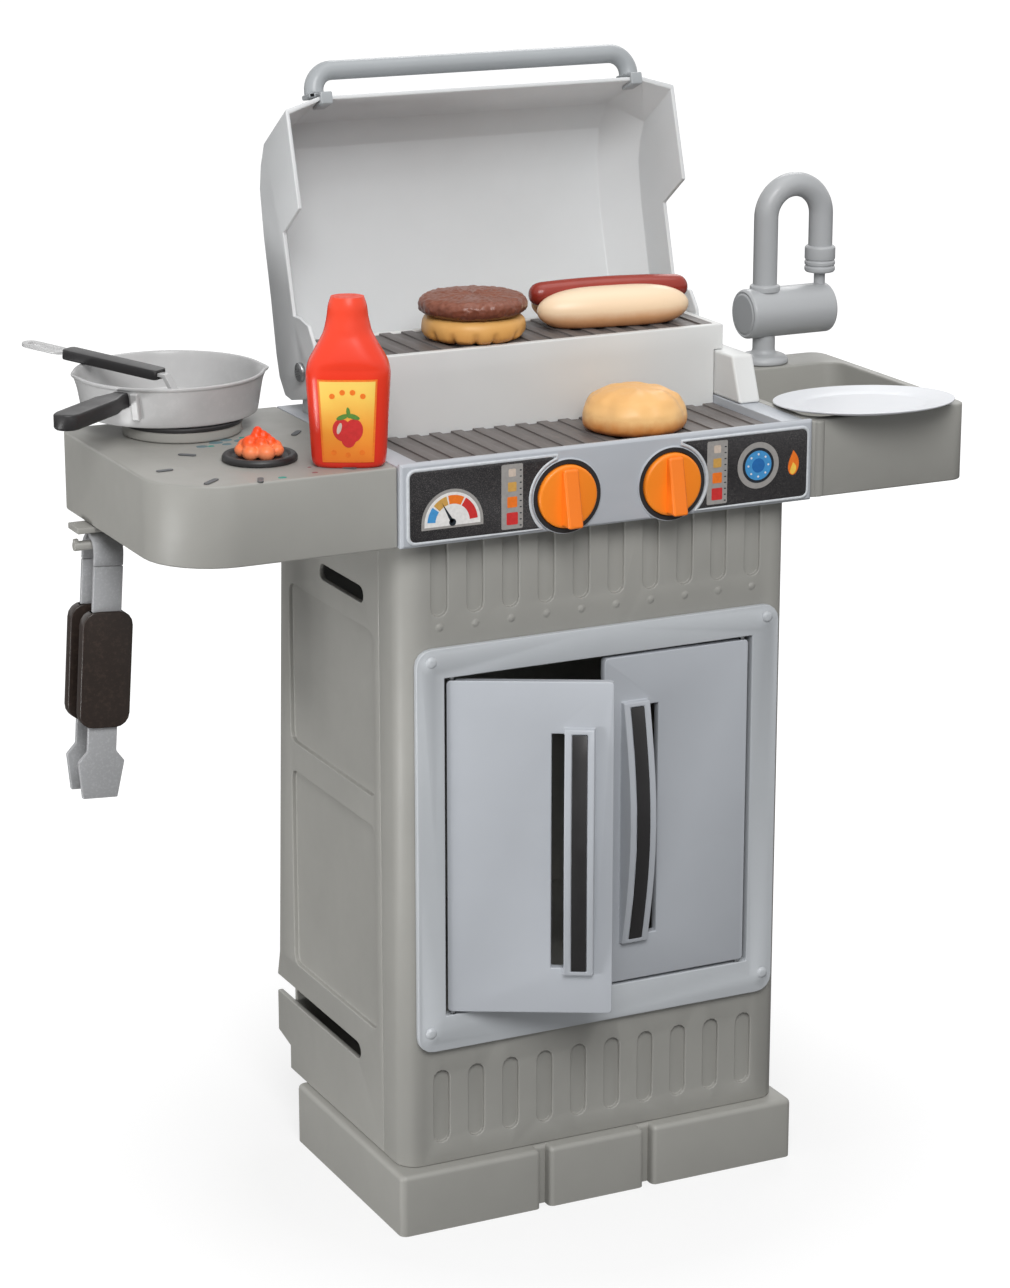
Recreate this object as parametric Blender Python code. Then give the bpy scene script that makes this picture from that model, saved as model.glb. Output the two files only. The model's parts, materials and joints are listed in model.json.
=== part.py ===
"""Toy barbecue grill: a cabinet with two doors, a worktop with sink, a lidded grill and play food.

Run it with Blender 4.5. Lengths are in metres, +Z is up, and the front faces -Y. The world origin is
on the floor, at the centre of the plinth. Inside the functions, x = 0 is the middle of the cabinet,
y = 0 is its front face and z = 0 is the floor; an empty then moves everything to the world origin.
"""

import math

import bmesh
import bpy
from mathutils import Matrix, Vector

MM = 0.001

# Sizes that drive the whole object
PLINTH_WIDTH = 375 * MM
PLINTH_DEPTH = 224 * MM
PLINTH_HEIGHT = 54 * MM
PLINTH_OVERHANG = 13 * MM
CABINET_WIDTH = 359 * MM
CABINET_HEIGHT = 541 * MM
CABINET_DEPTH_TOP = 241 * MM
CABINET_DEPTH_LOW = 264 * MM
COUNTER_HEIGHT = 66 * MM
COUNTER_FRONT = -16 * MM
COUNTER_DEPTH = 247 * MM
DECK_WIDTH = 374 * MM
LEFT_WING_LENGTH = 192 * MM
RIGHT_WING_LENGTH = 156 * MM
GAP = 0.3 * MM
OVERRUN = 6 * MM
MERGE = 0.001 * MM
CABINET_TOP = PLINTH_HEIGHT + CABINET_HEIGHT
COUNTER_BOTTOM = CABINET_TOP + GAP
COUNTER_TOP = CABINET_TOP + COUNTER_HEIGHT
HALF_TOP = DECK_WIDTH / 2
LEFT_WING_EDGE = -HALF_TOP - LEFT_WING_LENGTH

# How far the moving pieces stand open at rest, and how far they go
LID_OPEN = math.radians(105.7)
LEFT_DOOR_OPEN = math.radians(28)
TONGS_LEAN = math.radians(4)

# Plinth
PLINTH_WALL = 5 * MM
PLINTH_FRONT_WALL = 11 * MM
PLINTH_GROOVE_WIDTH = 11 * MM
PLINTH_GROOVE_DEPTH = 5 * MM
PLINTH_GROOVE_LEFT = -53.5 * MM
PLINTH_GROOVE_RIGHT = 45.5 * MM
PLINTH_RIB = 10 * MM
PLINTH_CHAMFER = 7 * MM

# Cabinet shell
WALL = 5 * MM
PILLAR_DEPTH = 40 * MM
PILLAR_RADIUS = 18 * MM
RIB_COUNT = 10
RIB_PITCH = 32 * MM
RIB_WIDTH = 15 * MM
RIB_DEPTH = 2.4 * MM
UPPER_RIB_BOTTOM = CABINET_TOP - 65 * MM
LOWER_RIB_BOTTOM = 73 * MM
LOWER_RIB_TOP = 138 * MM
DOT_HEIGHT = CABINET_TOP - 74 * MM
DOT_RADIUS = 3.5 * MM
DOT_PROUD = 2 * MM

# Side panels
SIDE_RECESS = 2.4 * MM
SIDE_RECESS_FRONT = 52 * MM
SIDE_RECESS_BACK = 229 * MM
UPPER_RECESS = (366 * MM, CABINET_TOP - 87 * MM)
LOWER_RECESS = (160 * MM, 340 * MM)
RECESS_RADIUS = 8 * MM
VENT_Y = (71 * MM, 162 * MM)
VENT_Z = (CABINET_TOP - 68 * MM, CABINET_TOP - 54 * MM)
HOOK_SLOT_FRONT = 87 * MM
HOOK_SLOT_Z = (120 * MM, 135 * MM)
HOOK_BACK = 270 * MM
HOOK_BOTTOM = 76 * MM
SIDE_FOOT_BACK = 243 * MM
SIDE_SHOULDER = 159 * MM

# Floor and back of the cabinet
BACK_THICKNESS = 4 * MM
FLOOR_THICKNESS = 4 * MM
FLOOR_TOP = 184 * MM

# Door frame and doors
FRAME_WIDTH = 335 * MM
FRAME_BOTTOM = 158 * MM
FRAME_TOP = CABINET_TOP - 90 * MM
FRAME_RADIUS = 14 * MM
FRAME_PROUD = 6 * MM
COLLAR_WALL = 7.2 * MM
DOORWAY_WIDTH = 285 * MM
DOORWAY_BOTTOM = 188.5 * MM
DOORWAY_TOP = CABINET_TOP - 115.4 * MM
BOSS_RADIUS = 9 * MM
BOSS_PROUD = 2.5 * MM
BOSS_INSET = 13 * MM
DOOR_SIDE_GAP = 4 * MM
DOOR_MIDDLE_GAP = 6 * MM
DOOR_END_GAP = 2.6 * MM
DOOR_THICKNESS = 8 * MM
DOOR_RADIUS = 3 * MM
PIN_RADIUS = 2 * MM
PIN_CLEARANCE = 0.3 * MM
PIN_INTO_FRAME = 6 * MM
PIN_INTO_DOOR = 8 * MM
GRIP_INSET = 15.5 * MM
GRIP_WIDTH = 24.5 * MM
GRIP_BOTTOM = 226 * MM
GRIP_TOP = 438 * MM
GRIP_END_PROUD = 5 * MM
GRIP_BOW = 14 * MM
GRIP_WALL = 4 * MM
GRIP_STEPS = 10
FINGER_SLOT_WIDTH = 10.5 * MM
FINGER_SLOT_END = 5 * MM
INLAY_WIDTH = 12 * MM
INLAY_END = 4 * MM
INLAY_GROOVE = 1.2 * MM
INLAY_PROUD = 0.5 * MM

# Worktop wings
WING_WALL = 4 * MM
WING_CORNER_RADIUS = 60 * MM
WING_BACK_RADIUS = 14 * MM
WING_PANEL_RADIUS = 8 * MM
BASIN_INSET_LEFT = 8 * MM
BASIN_INSET_RIGHT = 8.5 * MM
BASIN_INSET_FRONT = 12 * MM
BASIN_LEDGE = 46 * MM
BASIN_DEPTH = 40 * MM
BASIN_RADIUS = 16 * MM

# Grill deck and firebox
DECK_WALL = 4 * MM
DECK_RECESS = 9 * MM
FIREBOX_WALL = 20.7 * MM
FIREBOX_WALL_TOP = COUNTER_TOP + 39 * MM
FIREBOX_WALL_FRONT = 64 * MM
FIREBOX_WALL_SLANT = 15 * MM
FIREBOX_WALL_BACK = 140 * MM
GRATE_RIBS = 16
GRATE_RIB_HEIGHT = 1.6 * MM
LOWER_GRATE_THICKNESS = 3 * MM
LOWER_GRATE_MARGIN = 3 * MM
HOUSING_HALF_WIDTH = 174 * MM
HOUSING_FRONT = 108 * MM
HOUSING_BACK = 205 * MM
HOUSING_TOP = COUNTER_TOP + 61 * MM
HOUSING_WALL = 8 * MM
UPPER_GRATE_THICKNESS = 4 * MM
UPPER_GRATE_MARGIN = 7 * MM

# Control panel, labels and knobs
PANEL_THICKNESS = 5.7 * MM
PANEL_TOP = COUNTER_TOP + 2.5 * MM
PANEL_CHAMFER = 2 * MM
KNOB_X = (-41.5 * MM, 54 * MM)
KNOB_Z = COUNTER_TOP - 37.5 * MM
KNOB_RADIUS = 26 * MM
KNOB_HOLE_RADIUS = 28.5 * MM
KNOB_RING_WIDTH = 2.5 * MM
KNOB_RING_PROUD = 1.5 * MM
KNOB_BODY = 10 * MM
KNOB_BACK_GAP = 1 * MM
KNOB_EDGE = 2.5 * MM
KNOB_RIDGE_WIDTH = 13 * MM
KNOB_RIDGE_PROUD = 14 * MM
KNOB_RIDGE_TOP_PROUD = 4 * MM
KNOB_STEM_RADIUS = 5 * MM
KNOB_SCREW_HEAD_RADIUS = 8 * MM
KNOB_SCREW_HEAD = 3 * MM
KNOB_SCREW_RADIUS = 2 * MM
KNOB_SCREW_LENGTH = 9 * MM
LABEL_THICKNESS = 1 * MM
LABEL_Z = (COUNTER_TOP - 61 * MM, COUNTER_TOP - 4 * MM)
LEFT_LABEL_X = (-HALF_TOP + 7 * MM, KNOB_X[0] - 10 * MM)
RIGHT_LABEL_X = (KNOB_X[1] + 10 * MM, HALF_TOP - 6 * MM)
LABEL_RADIUS = 5 * MM
LABEL_TO_KNOB_CENTRE = 34 * MM

# Lid, in its closed place; shares of the half width, the depth and the height give the profiles
LID_HALF_WIDTH = 181 * MM
LID_WALL = 3.5 * MM
LID_CORNER = 31 * MM
LID_HINGE_Y = 188 * MM
LID_HINGE_Z = COUNTER_TOP + 37 * MM
LID_FRONT = 222 * MM
LID_HEIGHT = 75 * MM
LID_LIP_BELOW = 33 * MM
LID_SIDE_SHARES = (
    (-0.959, -0.44), (-0.869, 0.307), (-0.793, 0.48), (-0.712, 0.587), (-0.536, 0.64),
    (-0.302, 0.653), (-0.086, 0.693), (0.0, 0.68), (0.072, 0.58), (0.095, 0.42),
)
LID_MIDDLE_SHARES = (
    (-1.0, -0.44), (-0.959, 0.48), (-0.869, 0.787), (-0.752, 0.933), (-0.559, 1.0),
    (-0.315, 1.0), (-0.113, 0.96), (0.009, 0.92), (0.081, 0.76), (0.099, 0.52),
)
LID_EDGE_SHARES = (
    (0.104, 0.027), (0.108, -0.213), (0.054, -0.4), (-0.09, -0.413), (-0.162, -0.32),
    (-0.198, -0.107), (-0.212, 0.06), (-0.523, 0.06), (-0.59, -0.467),
)
LID_CUT_DEPTH = 60 * MM
LID_PIN_RADIUS = 4 * MM
LID_PIN_HEAD_RADIUS = 8 * MM
LID_PIN_HEAD = 3 * MM
LID_PIN_INTO_HOUSING = 6 * MM

# Lid handle, also in the lid's closed place
HANDLE_HALF_WIDTH = 155 * MM
HANDLE_LEG = 16 * MM
HANDLE_REACH = 31 * MM
HANDLE_BAR = 16 * MM
HANDLE_BOTTOM = LID_HINGE_Z - 25 * MM
HANDLE_TOP = LID_HINGE_Z - 8 * MM
HANDLE_CORNER = 22 * MM
HANDLE_INNER_CORNER = 6 * MM
HANDLE_CLIP = 3 * MM
HANDLE_CLIP_TOP = LID_HINGE_Z - 16 * MM

# Faucet
FAUCET_X = HALF_TOP + 86 * MM
FAUCET_Y = 209 * MM
FLANGE_RADIUS = 22 * MM
FLANGE_HEIGHT = 8 * MM
STEM_RADIUS = 10 * MM
STEM_TOP = COUNTER_TOP + 25 * MM
SPIGOT_RADIUS = 6.5 * MM
SPIGOT_HEIGHT = 9 * MM
ANCHOR_RADIUS = 8 * MM
ANCHOR_DEPTH = 16 * MM
BARREL_X = (HALF_TOP + 64 * MM, HALF_TOP + 150 * MM)
BARREL_Z = COUNTER_TOP + 45 * MM
BARREL_RADIUS = 22 * MM
BARREL_EDGE = 5 * MM
SPOUT_RADIUS = 10.7 * MM
SPOUT_X_END = HALF_TOP + 142 * MM
SPOUT_SOCKET = COUNTER_TOP + 54 * MM
ARCH_TOP = COUNTER_TOP + 168 * MM
SPOUT_END = COUNTER_TOP + 85 * MM
SPOUT_STEPS = 14
COLLAR_RADIUS = 13.7 * MM
COLLAR_HEIGHT = 24 * MM
COLLAR_BOTTOM = COUNTER_TOP + 77 * MM
COLLAR_LIP = 3 * MM
ROD_RADIUS = 5 * MM
ROD_SOCKET = COUNTER_TOP + 57 * MM

# Side burner, flame and raised ring under the pan
BURNER_X = -HALF_TOP - 87 * MM
BURNER_Y = 55 * MM
BURNER_RADIUS = 30 * MM
BURNER_HEIGHT = 5.5 * MM
BURNER_DISH = 2.5 * MM
FLAME_RADIUS = 22 * MM
FLAME_HEIGHT = 24 * MM
FLAME_BASE_SHARES = ((0.0, 0.0), (0.9, 0.0), (0.95, 0.2), (0.5, 0.5), (0.0, 0.55))
FLAME_TIP_SHARES = ((0.0, 0.1), (0.3, 0.2), (0.24, 0.4), (0.0, 0.75))
FLAME_TALL_TIP_SHARES = ((0.0, 0.1), (0.4, 0.3), (0.25, 0.7), (0.0, 1.0))
FLAME_TIP_REACH_SHARE = 0.55
FLAME_TIPS = 5
RING_X = -HALF_TOP - 105 * MM
RING_Y = 178 * MM
RING_RADIUS = 49 * MM
RING_WIDTH = 12 * MM
RING_HEIGHT = 12 * MM

# Pan and spatula
PAN_Y = 204 * MM
PAN_BASE_RADIUS = 72 * MM
PAN_RIM_RADIUS = 78.6 * MM
PAN_HEIGHT = 34 * MM
PAN_WALL = 2.5 * MM
PAN_NECK_SHARE = 0.6
PAN_HANDLE_TURN = math.radians(220)
PAN_HANDLE_LENGTH = 95 * MM
PAN_HANDLE_WIDTH = 22 * MM
PAN_HANDLE_NECK = 15 * MM
PAN_HANDLE_THICKNESS = 13 * MM
PAN_HANDLE_BELOW_RIM = 10 * MM
SPATULA_X = -HALF_TOP - 113 * MM
SPATULA_Y = 192 * MM
SPATULA_TURN = math.radians(123.7)
SPATULA_RISE_SHARE = 0.088
SPATULA_TO_RIM = 83 * MM
SPATULA_REST = 0.8 * MM
BLADE_LENGTH = 34 * MM
BLADE_WIDTH = 36 * MM
BLADE_THICKNESS = 2 * MM
BLADE_RAMP = 20 * MM
TANG_WIDTH = 8 * MM
TANG_THICKNESS = 3 * MM
TANG_END = 106 * MM
LOOP_LENGTH = 38 * MM
LOOP_WIDTH = 17 * MM
LOOP_WALL = 5 * MM
SPATULA_GRIP = (4 * MM, 100 * MM)
SPATULA_GRIP_WIDTH = 17 * MM
SPATULA_GRIP_THICKNESS = 8.4 * MM

# Tongs and their hanger
TONGS_X = LEFT_WING_EDGE + 12 * MM
TONGS_Y = 167.5 * MM
HANGER_BAR_RADIUS = 4 * MM
HANGER_BAR_Z = COUNTER_TOP - 83.5 * MM
HANGER_X = (LEFT_WING_EDGE - 13 * MM, LEFT_WING_EDGE + 45 * MM)
HANGER_PLATE = 5 * MM
HANGER_POST = 8 * MM
HANGER_WIDTH = 24 * MM
HANGER_LIP = 6 * MM
TONGS_SPREAD = 14 * MM
TONGS_THICKNESS = 4 * MM
TONGS_WIDTH = 25 * MM
BOW_LEG = 12 * MM
BOW_STEPS = 10
ARM_LENGTH = 193 * MM
ARM_TIP_WIDTH = 40 * MM
ARM_SHOULDER_WIDTH = 30 * MM
ARM_SPADE = 40 * MM
ARM_SPADE_WIDEST = 31 * MM
SLEEVE_TOP_DROP = 34 * MM
SLEEVE_ABOVE_SPADE = 21 * MM
SLEEVE_WIDTH = 43 * MM
SLEEVE_OUTSIDE = 4 * MM
SLEEVE_INSIDE = 2.5 * MM
SLEEVE_RADIUS = 12 * MM
ARM_PIVOT_LUG = 3.2 * MM

# Bottle
BOTTLE_X = -HALF_TOP - 28 * MM
BOTTLE_Y = 12 * MM
BOTTLE_TURN = math.radians(-26)
BOTTLE_HALF_WIDTH = 34 * MM
BOTTLE_DEPTH_SHARE = 0.62
BOTTLE_HEIGHT = 133 * MM
BOTTLE_SHARES = (
    (0.0, 0.0), (0.78, 0.0), (0.85, 0.02), (0.87, 0.06), (0.93, 0.3), (0.99, 0.5), (1.0, 0.56),
    (0.94, 0.62), (0.76, 0.7), (0.56, 0.79), (0.48, 0.88), (0.45, 0.95), (0.37, 1.0), (0.0, 1.0),
)

# Play food and plate
BUN_BASE_X = -42 * MM
BURGER_Y = 150 * MM
BUN_BASE_RADIUS = 44 * MM
BUN_BASE_HEIGHT = 20 * MM
BUN_BASE_SHARES = (
    (0.0, 0.0), (0.82, 0.0), (0.96, 0.2), (1.0, 0.5), (0.97, 0.85), (0.88, 1.0), (0.0, 1.0),
)
PATTY_RADIUS = 46.5 * MM
PATTY_HEIGHT = 17 * MM
PATTY_SHARES = (
    (0.0, 0.0), (0.9, 0.0), (1.0, 0.3), (0.98, 0.65), (0.86, 0.92), (0.6, 1.0), (0.0, 1.0),
)
HOT_DOG_X = 90 * MM
HOT_DOG_Y = 155 * MM
HOT_DOG_TURN = math.radians(-8)
HOT_DOG_LENGTH = 137 * MM
HOT_DOG_DEPTH = 56 * MM
HOT_DOG_HEIGHT = 30 * MM
SAUSAGE_LENGTH = 142 * MM
SAUSAGE_RADIUS = 10 * MM
SAUSAGE_SHIFT = 5 * MM
SAUSAGE_RISE = 29 * MM
HOT_DOG_END_SHARES = ((0.0, 0.45), (0.02, 0.62), (0.06, 0.8), (0.14, 0.95), (0.3, 1.0))
HOT_DOG_SECTION_SHARES = (
    (-0.55, 0.0), (0.55, 0.0), (0.88, 0.22), (1.0, 0.55), (0.9, 0.84), (0.66, 0.96), (0.3, 0.94),
    (-0.3, 0.94), (-0.66, 0.96), (-0.9, 0.84), (-1.0, 0.55), (-0.88, 0.22),
)
TOP_BUN_X = 56 * MM
TOP_BUN_Y = 47 * MM
TOP_BUN_RADIUS = 44 * MM
TOP_BUN_HEIGHT = 36 * MM
TOP_BUN_SHARES = (
    (0.0, 0.0), (0.9, 0.0), (1.0, 0.16), (0.98, 0.4), (0.87, 0.67), (0.66, 0.87), (0.36, 0.98),
    (0.0, 1.0),
)
PLATE_X = HALF_TOP + 73 * MM
PLATE_Y = 18 * MM
PLATE_RADIUS = 76.5 * MM
PLATE_FOOT_RADIUS = 52 * MM
PLATE_HEIGHT = 6.5 * MM
PLATE_THICKNESS = 2 * MM
PLATE_TILT = math.radians(-3.9)

# Heights and edges that follow from the sizes above
COUNTER_BACK = COUNTER_FRONT + COUNTER_DEPTH
ON_COUNTER = COUNTER_TOP + GAP
HALF_CABINET = CABINET_WIDTH / 2
HALF_DECK = HALF_TOP - GAP
PANEL_FRONT = COUNTER_FRONT - PANEL_THICKNESS
FIREBOX_INNER = HALF_DECK - FIREBOX_WALL
DECK_FLOOR = COUNTER_TOP - DECK_RECESS
LOWER_GRATE_TOP = DECK_FLOOR + GAP + LOWER_GRATE_THICKNESS
DOOR_AXIS_Y = DOOR_THICKNESS / 2 - FRAME_PROUD
DOOR_AXIS_X = DOORWAY_WIDTH / 2 - DOOR_SIDE_GAP - DOOR_THICKNESS / 2
DOOR_BOTTOM = DOORWAY_BOTTOM + DOOR_END_GAP
DOOR_TOP = DOORWAY_TOP - DOOR_END_GAP
RING_TOP = ON_COUNTER + RING_HEIGHT
PAN_BOTTOM = RING_TOP + GAP
PAN_RIM = PAN_BOTTOM + PAN_HEIGHT
SPATULA_AT_RIM = PAN_RIM + SPATULA_REST + SPATULA_GRIP_THICKNESS / 2
BOW_TILT = TONGS_WIDTH / 2 * math.tan(TONGS_LEAN)
BOW_CENTRE_Z = HANGER_BAR_Z + HANGER_BAR_RADIUS + GAP + BOW_TILT + TONGS_THICKNESS / 2 - TONGS_SPREAD
ARM_PIVOT_Z = BOW_CENTRE_Z - BOW_LEG


# Colours of the plastics

def material(name, colour, roughness=0.55, metallic=0.0):
    made = bpy.data.materials.new(name)
    made.use_nodes = True
    shader = made.node_tree.nodes["Principled BSDF"]
    shader.inputs["Base Color"].default_value = (*colour, 1.0)
    shader.inputs["Roughness"].default_value = roughness
    shader.inputs["Metallic"].default_value = metallic
    return made


def all_materials():
    return {
        "warm_grey": material("warm_grey", (0.26, 0.25, 0.23)),
        "blue_grey": material("blue_grey", (0.39, 0.41, 0.43)),
        "pale_grey": material("pale_grey", (0.56, 0.57, 0.58)),
        "silver": material("silver", (0.46, 0.46, 0.45), 0.35, 0.3),
        "black": material("black", (0.02, 0.02, 0.02), 0.45),
        "grate_brown": material("grate_brown", (0.17, 0.14, 0.12)),
        "orange": material("orange", (0.9, 0.24, 0.03), 0.4),
        "bottle_red": material("bottle_red", (0.8, 0.08, 0.03), 0.3),
        "meat": material("meat", (0.16, 0.06, 0.03), 0.6),
        "sausage_red": material("sausage_red", (0.3, 0.05, 0.03), 0.4),
        "bun_cream": material("bun_cream", (0.84, 0.68, 0.46), 0.6),
        "bun_toast": material("bun_toast", (0.8, 0.5, 0.22), 0.6),
        "white": material("white", (0.85, 0.85, 0.85), 0.35),
        "steel": material("steel", (0.5, 0.5, 0.5), 0.3, 0.9),
    }


# Shapes that the pieces are made from

def finish_mesh(name, bm):
    bmesh.ops.remove_doubles(bm, verts=bm.verts, dist=MERGE)
    bmesh.ops.recalc_face_normals(bm, faces=bm.faces)
    mesh = bpy.data.meshes.new(name)
    bm.to_mesh(mesh)
    bm.free()
    made = bpy.data.objects.new(name, mesh)
    bpy.context.scene.collection.objects.link(made)
    return made


def box(name, x, y, z):
    """A block between the lower and upper value of each of x, y and z."""
    bm = bmesh.new()
    bmesh.ops.create_cube(bm, size=1)
    size = Vector((x[1] - x[0], y[1] - y[0], z[1] - z[0]))
    middle = Vector((x[0] + x[1], y[0] + y[1], z[0] + z[1])) / 2
    matrix = Matrix.Translation(middle) @ Matrix.Diagonal((*size, 1))
    bmesh.ops.transform(bm, matrix=matrix, verts=bm.verts)
    return finish_mesh(name, bm)


def point_on(axis, a, b, along):
    """The point at (a, b) of an outline square to the axis, at a place along it."""
    return {"X": (along, a, b), "Y": (a, along, b), "Z": (a, b, along)}[axis]


def prism(name, outline, axis, span):
    """An outline extruded along an axis, between the two values of span."""
    bm = bmesh.new()
    face = bm.faces.new([bm.verts.new(point_on(axis, a, b, span[0])) for a, b in outline])
    grown = bmesh.ops.extrude_face_region(bm, geom=[face])["geom"]
    moved = [item for item in grown if isinstance(item, bmesh.types.BMVert)]
    bmesh.ops.translate(bm, vec=Vector(point_on(axis, 0, 0, span[1] - span[0])), verts=moved)
    return finish_mesh(name, bm)


def turned(name, profile, centre, axis="Z", steps=32):
    """A profile of (radius, place along the axis) turned round the axis through centre."""
    bm = bmesh.new()
    verts = [bm.verts.new((radius, 0, along)) for radius, along in profile]
    for first, second in zip(verts, verts[1:]):
        bm.edges.new((first, second))
    if profile[0][0] > 0:
        bm.edges.new((verts[-1], verts[0]))
    bmesh.ops.spin(
        bm, geom=bm.verts[:] + bm.edges[:], cent=(0, 0, 0), axis=(0, 0, 1), angle=math.tau,
        steps=steps, use_merge=True,
    )
    turn = {
        "Z": Matrix(),
        "X": Matrix.Rotation(math.pi / 2, 4, "Y"),
        "Y": Matrix.Rotation(-math.pi / 2, 4, "X"),
    }[axis]
    bmesh.ops.transform(bm, matrix=Matrix.Translation(centre) @ turn, verts=bm.verts)
    made = finish_mesh(name, bm)
    made.data.shade_smooth()
    made.data.set_sharp_from_angle(angle=math.radians(40))
    return made


def rod(name, radius, centre, axis, span, steps=20):
    """A round bar along the axis, from span[0] to span[1] measured from centre."""
    profile = [(0, span[0]), (radius, span[0]), (radius, span[1]), (0, span[1])]
    return turned(name, profile, centre, axis, steps)


def pipe(name, route, radius, sides_resolution):
    curve = bpy.data.curves.new(name, "CURVE")
    curve.dimensions = "3D"
    spline = curve.splines.new("POLY")
    spline.points.add(len(route) - 1)
    for point, place in zip(spline.points, route):
        point.co = (*place, 1)
    curve.bevel_depth = radius
    curve.bevel_resolution = sides_resolution
    curve.use_fill_caps = True
    guide = bpy.data.objects.new(name + "_route", curve)
    bpy.context.scene.collection.objects.link(guide)
    bm = bmesh.new()
    bm.from_mesh(evaluated_mesh(guide))
    bpy.data.objects.remove(guide)
    made = finish_mesh(name, bm)
    made.data.shade_smooth()
    made.data.set_sharp_from_angle(angle=math.radians(40))
    return made


def arc(centre, radius, start, end, steps):
    """Points of an arc; the angles are in degrees, from the first axis towards the second."""
    angles = [math.radians(start + (end - start) * i / steps) for i in range(steps + 1)]
    return [(centre[0] + radius * math.cos(a), centre[1] + radius * math.sin(a)) for a in angles]


def rounded(a, b, radii, steps=4):
    """A rectangle over a and b; radii are those of its corners, from low-low round to low-high."""
    corners = ((a[0], b[0], 180), (a[1], b[0], 270), (a[1], b[1], 0), (a[0], b[1], 90))
    points = []
    for (u, v, start), radius in zip(corners, radii):
        if radius == 0:
            points.append((u, v))
            continue
        centre = (u + radius if u == a[0] else u - radius, v + radius if v == b[0] else v - radius)
        points += arc(centre, radius, start, start + 90, steps)
    return points


def loft(name, sections):
    """A closed solid through outlines with the same number of points."""
    bm = bmesh.new()
    rings = [[bm.verts.new(point) for point in section] for section in sections]
    bm.faces.new(rings[0])
    bm.faces.new(rings[-1])
    for low, high in zip(rings, rings[1:]):
        for i in range(len(low)):
            j = (i + 1) % len(low)
            bm.faces.new((low[i], low[j], high[j], high[i]))
    bmesh.ops.triangulate(bm, faces=bm.faces)
    return finish_mesh(name, bm)


def evaluated_mesh(obj):
    graph = bpy.context.evaluated_depsgraph_get()
    return bpy.data.meshes.new_from_object(obj.evaluated_get(graph))


def combine(obj, others, operation):
    """Booleans the other shapes into obj, one after another, and removes them."""
    for other in others:
        modifier = obj.modifiers.new("combine", "BOOLEAN")
        modifier.operation = operation
        modifier.object = other
        bpy.context.view_layer.update()
        result = evaluated_mesh(obj)
        obj.modifiers.clear()
        obj.data = result
        bpy.data.objects.remove(other)
    return obj


def cut(obj, *cutters):
    return combine(obj, cutters, "DIFFERENCE")


def fuse(obj, *pieces):
    return combine(obj, pieces, "UNION")


def bunch(name, shapes):
    """Several shapes that don't touch, as the single mesh of one cutter."""
    bm = bmesh.new()
    for shape in shapes:
        bm.from_mesh(shape.data)
        bpy.data.objects.remove(shape)
    return finish_mesh(name, bm)


def turn_shape(obj, angle, axis, centre):
    """Turns a mesh in place about an axis through centre."""
    back = Matrix.Translation(-Vector(centre))
    obj.data.transform(Matrix.Translation(centre) @ Matrix.Rotation(angle, 4, axis) @ back)
    return obj


def mirrored(obj, name):
    """A copy of a shape on the other side of the middle plane."""
    bm = bmesh.new()
    bm.from_mesh(obj.data)
    bmesh.ops.transform(bm, matrix=Matrix.Scale(-1, 4, (1, 0, 0)), verts=bm.verts)
    bmesh.ops.reverse_faces(bm, faces=bm.faces)
    return finish_mesh(name, bm)


# Plinth and cabinet

def make_plinth():
    half = PLINTH_WIDTH / 2
    y = (-PLINTH_OVERHANG, PLINTH_DEPTH - PLINTH_OVERHANG)
    middle = sum(y) / 2
    c = PLINTH_CHAMFER
    low = [(-half, y[0]), (half, y[0]), (half, y[1]), (-half, y[1])]
    high = [(-half + c, y[0] + c), (half - c, y[0] + c), (half - c, y[1]), (-half + c, y[1])]
    levels = ((low, 0), (low, PLINTH_HEIGHT - c), (high, PLINTH_HEIGHT))
    plinth = loft("plinth", [[(a, b, z) for a, b in ring] for ring, z in levels])
    x_in = half - PLINTH_WALL - c
    y_in = (y[0] + PLINTH_FRONT_WALL, y[1] - PLINTH_WALL)
    z_in = (-OVERRUN, PLINTH_HEIGHT - PLINTH_WALL)
    hollows = (
        box("front_hollow", (-x_in, x_in), (y_in[0], middle - PLINTH_RIB / 2), z_in),
        box("back_hollow", (-x_in, x_in), (middle + PLINTH_RIB / 2, y_in[1]), z_in),
    )
    grooves = []
    for x in (PLINTH_GROOVE_LEFT, PLINTH_GROOVE_RIGHT):
        span = (x - PLINTH_GROOVE_WIDTH / 2, x + PLINTH_GROOVE_WIDTH / 2)
        depth = (y[0] - OVERRUN, y[0] + PLINTH_GROOVE_DEPTH)
        grooves.append(box("groove", span, depth, (-OVERRUN, PLINTH_HEIGHT + OVERRUN)))
    return cut(plinth, bunch("hollows", hollows), bunch("grooves", grooves))


def rib_places():
    return [(i - (RIB_COUNT - 1) / 2) * RIB_PITCH for i in range(RIB_COUNT)]


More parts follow.
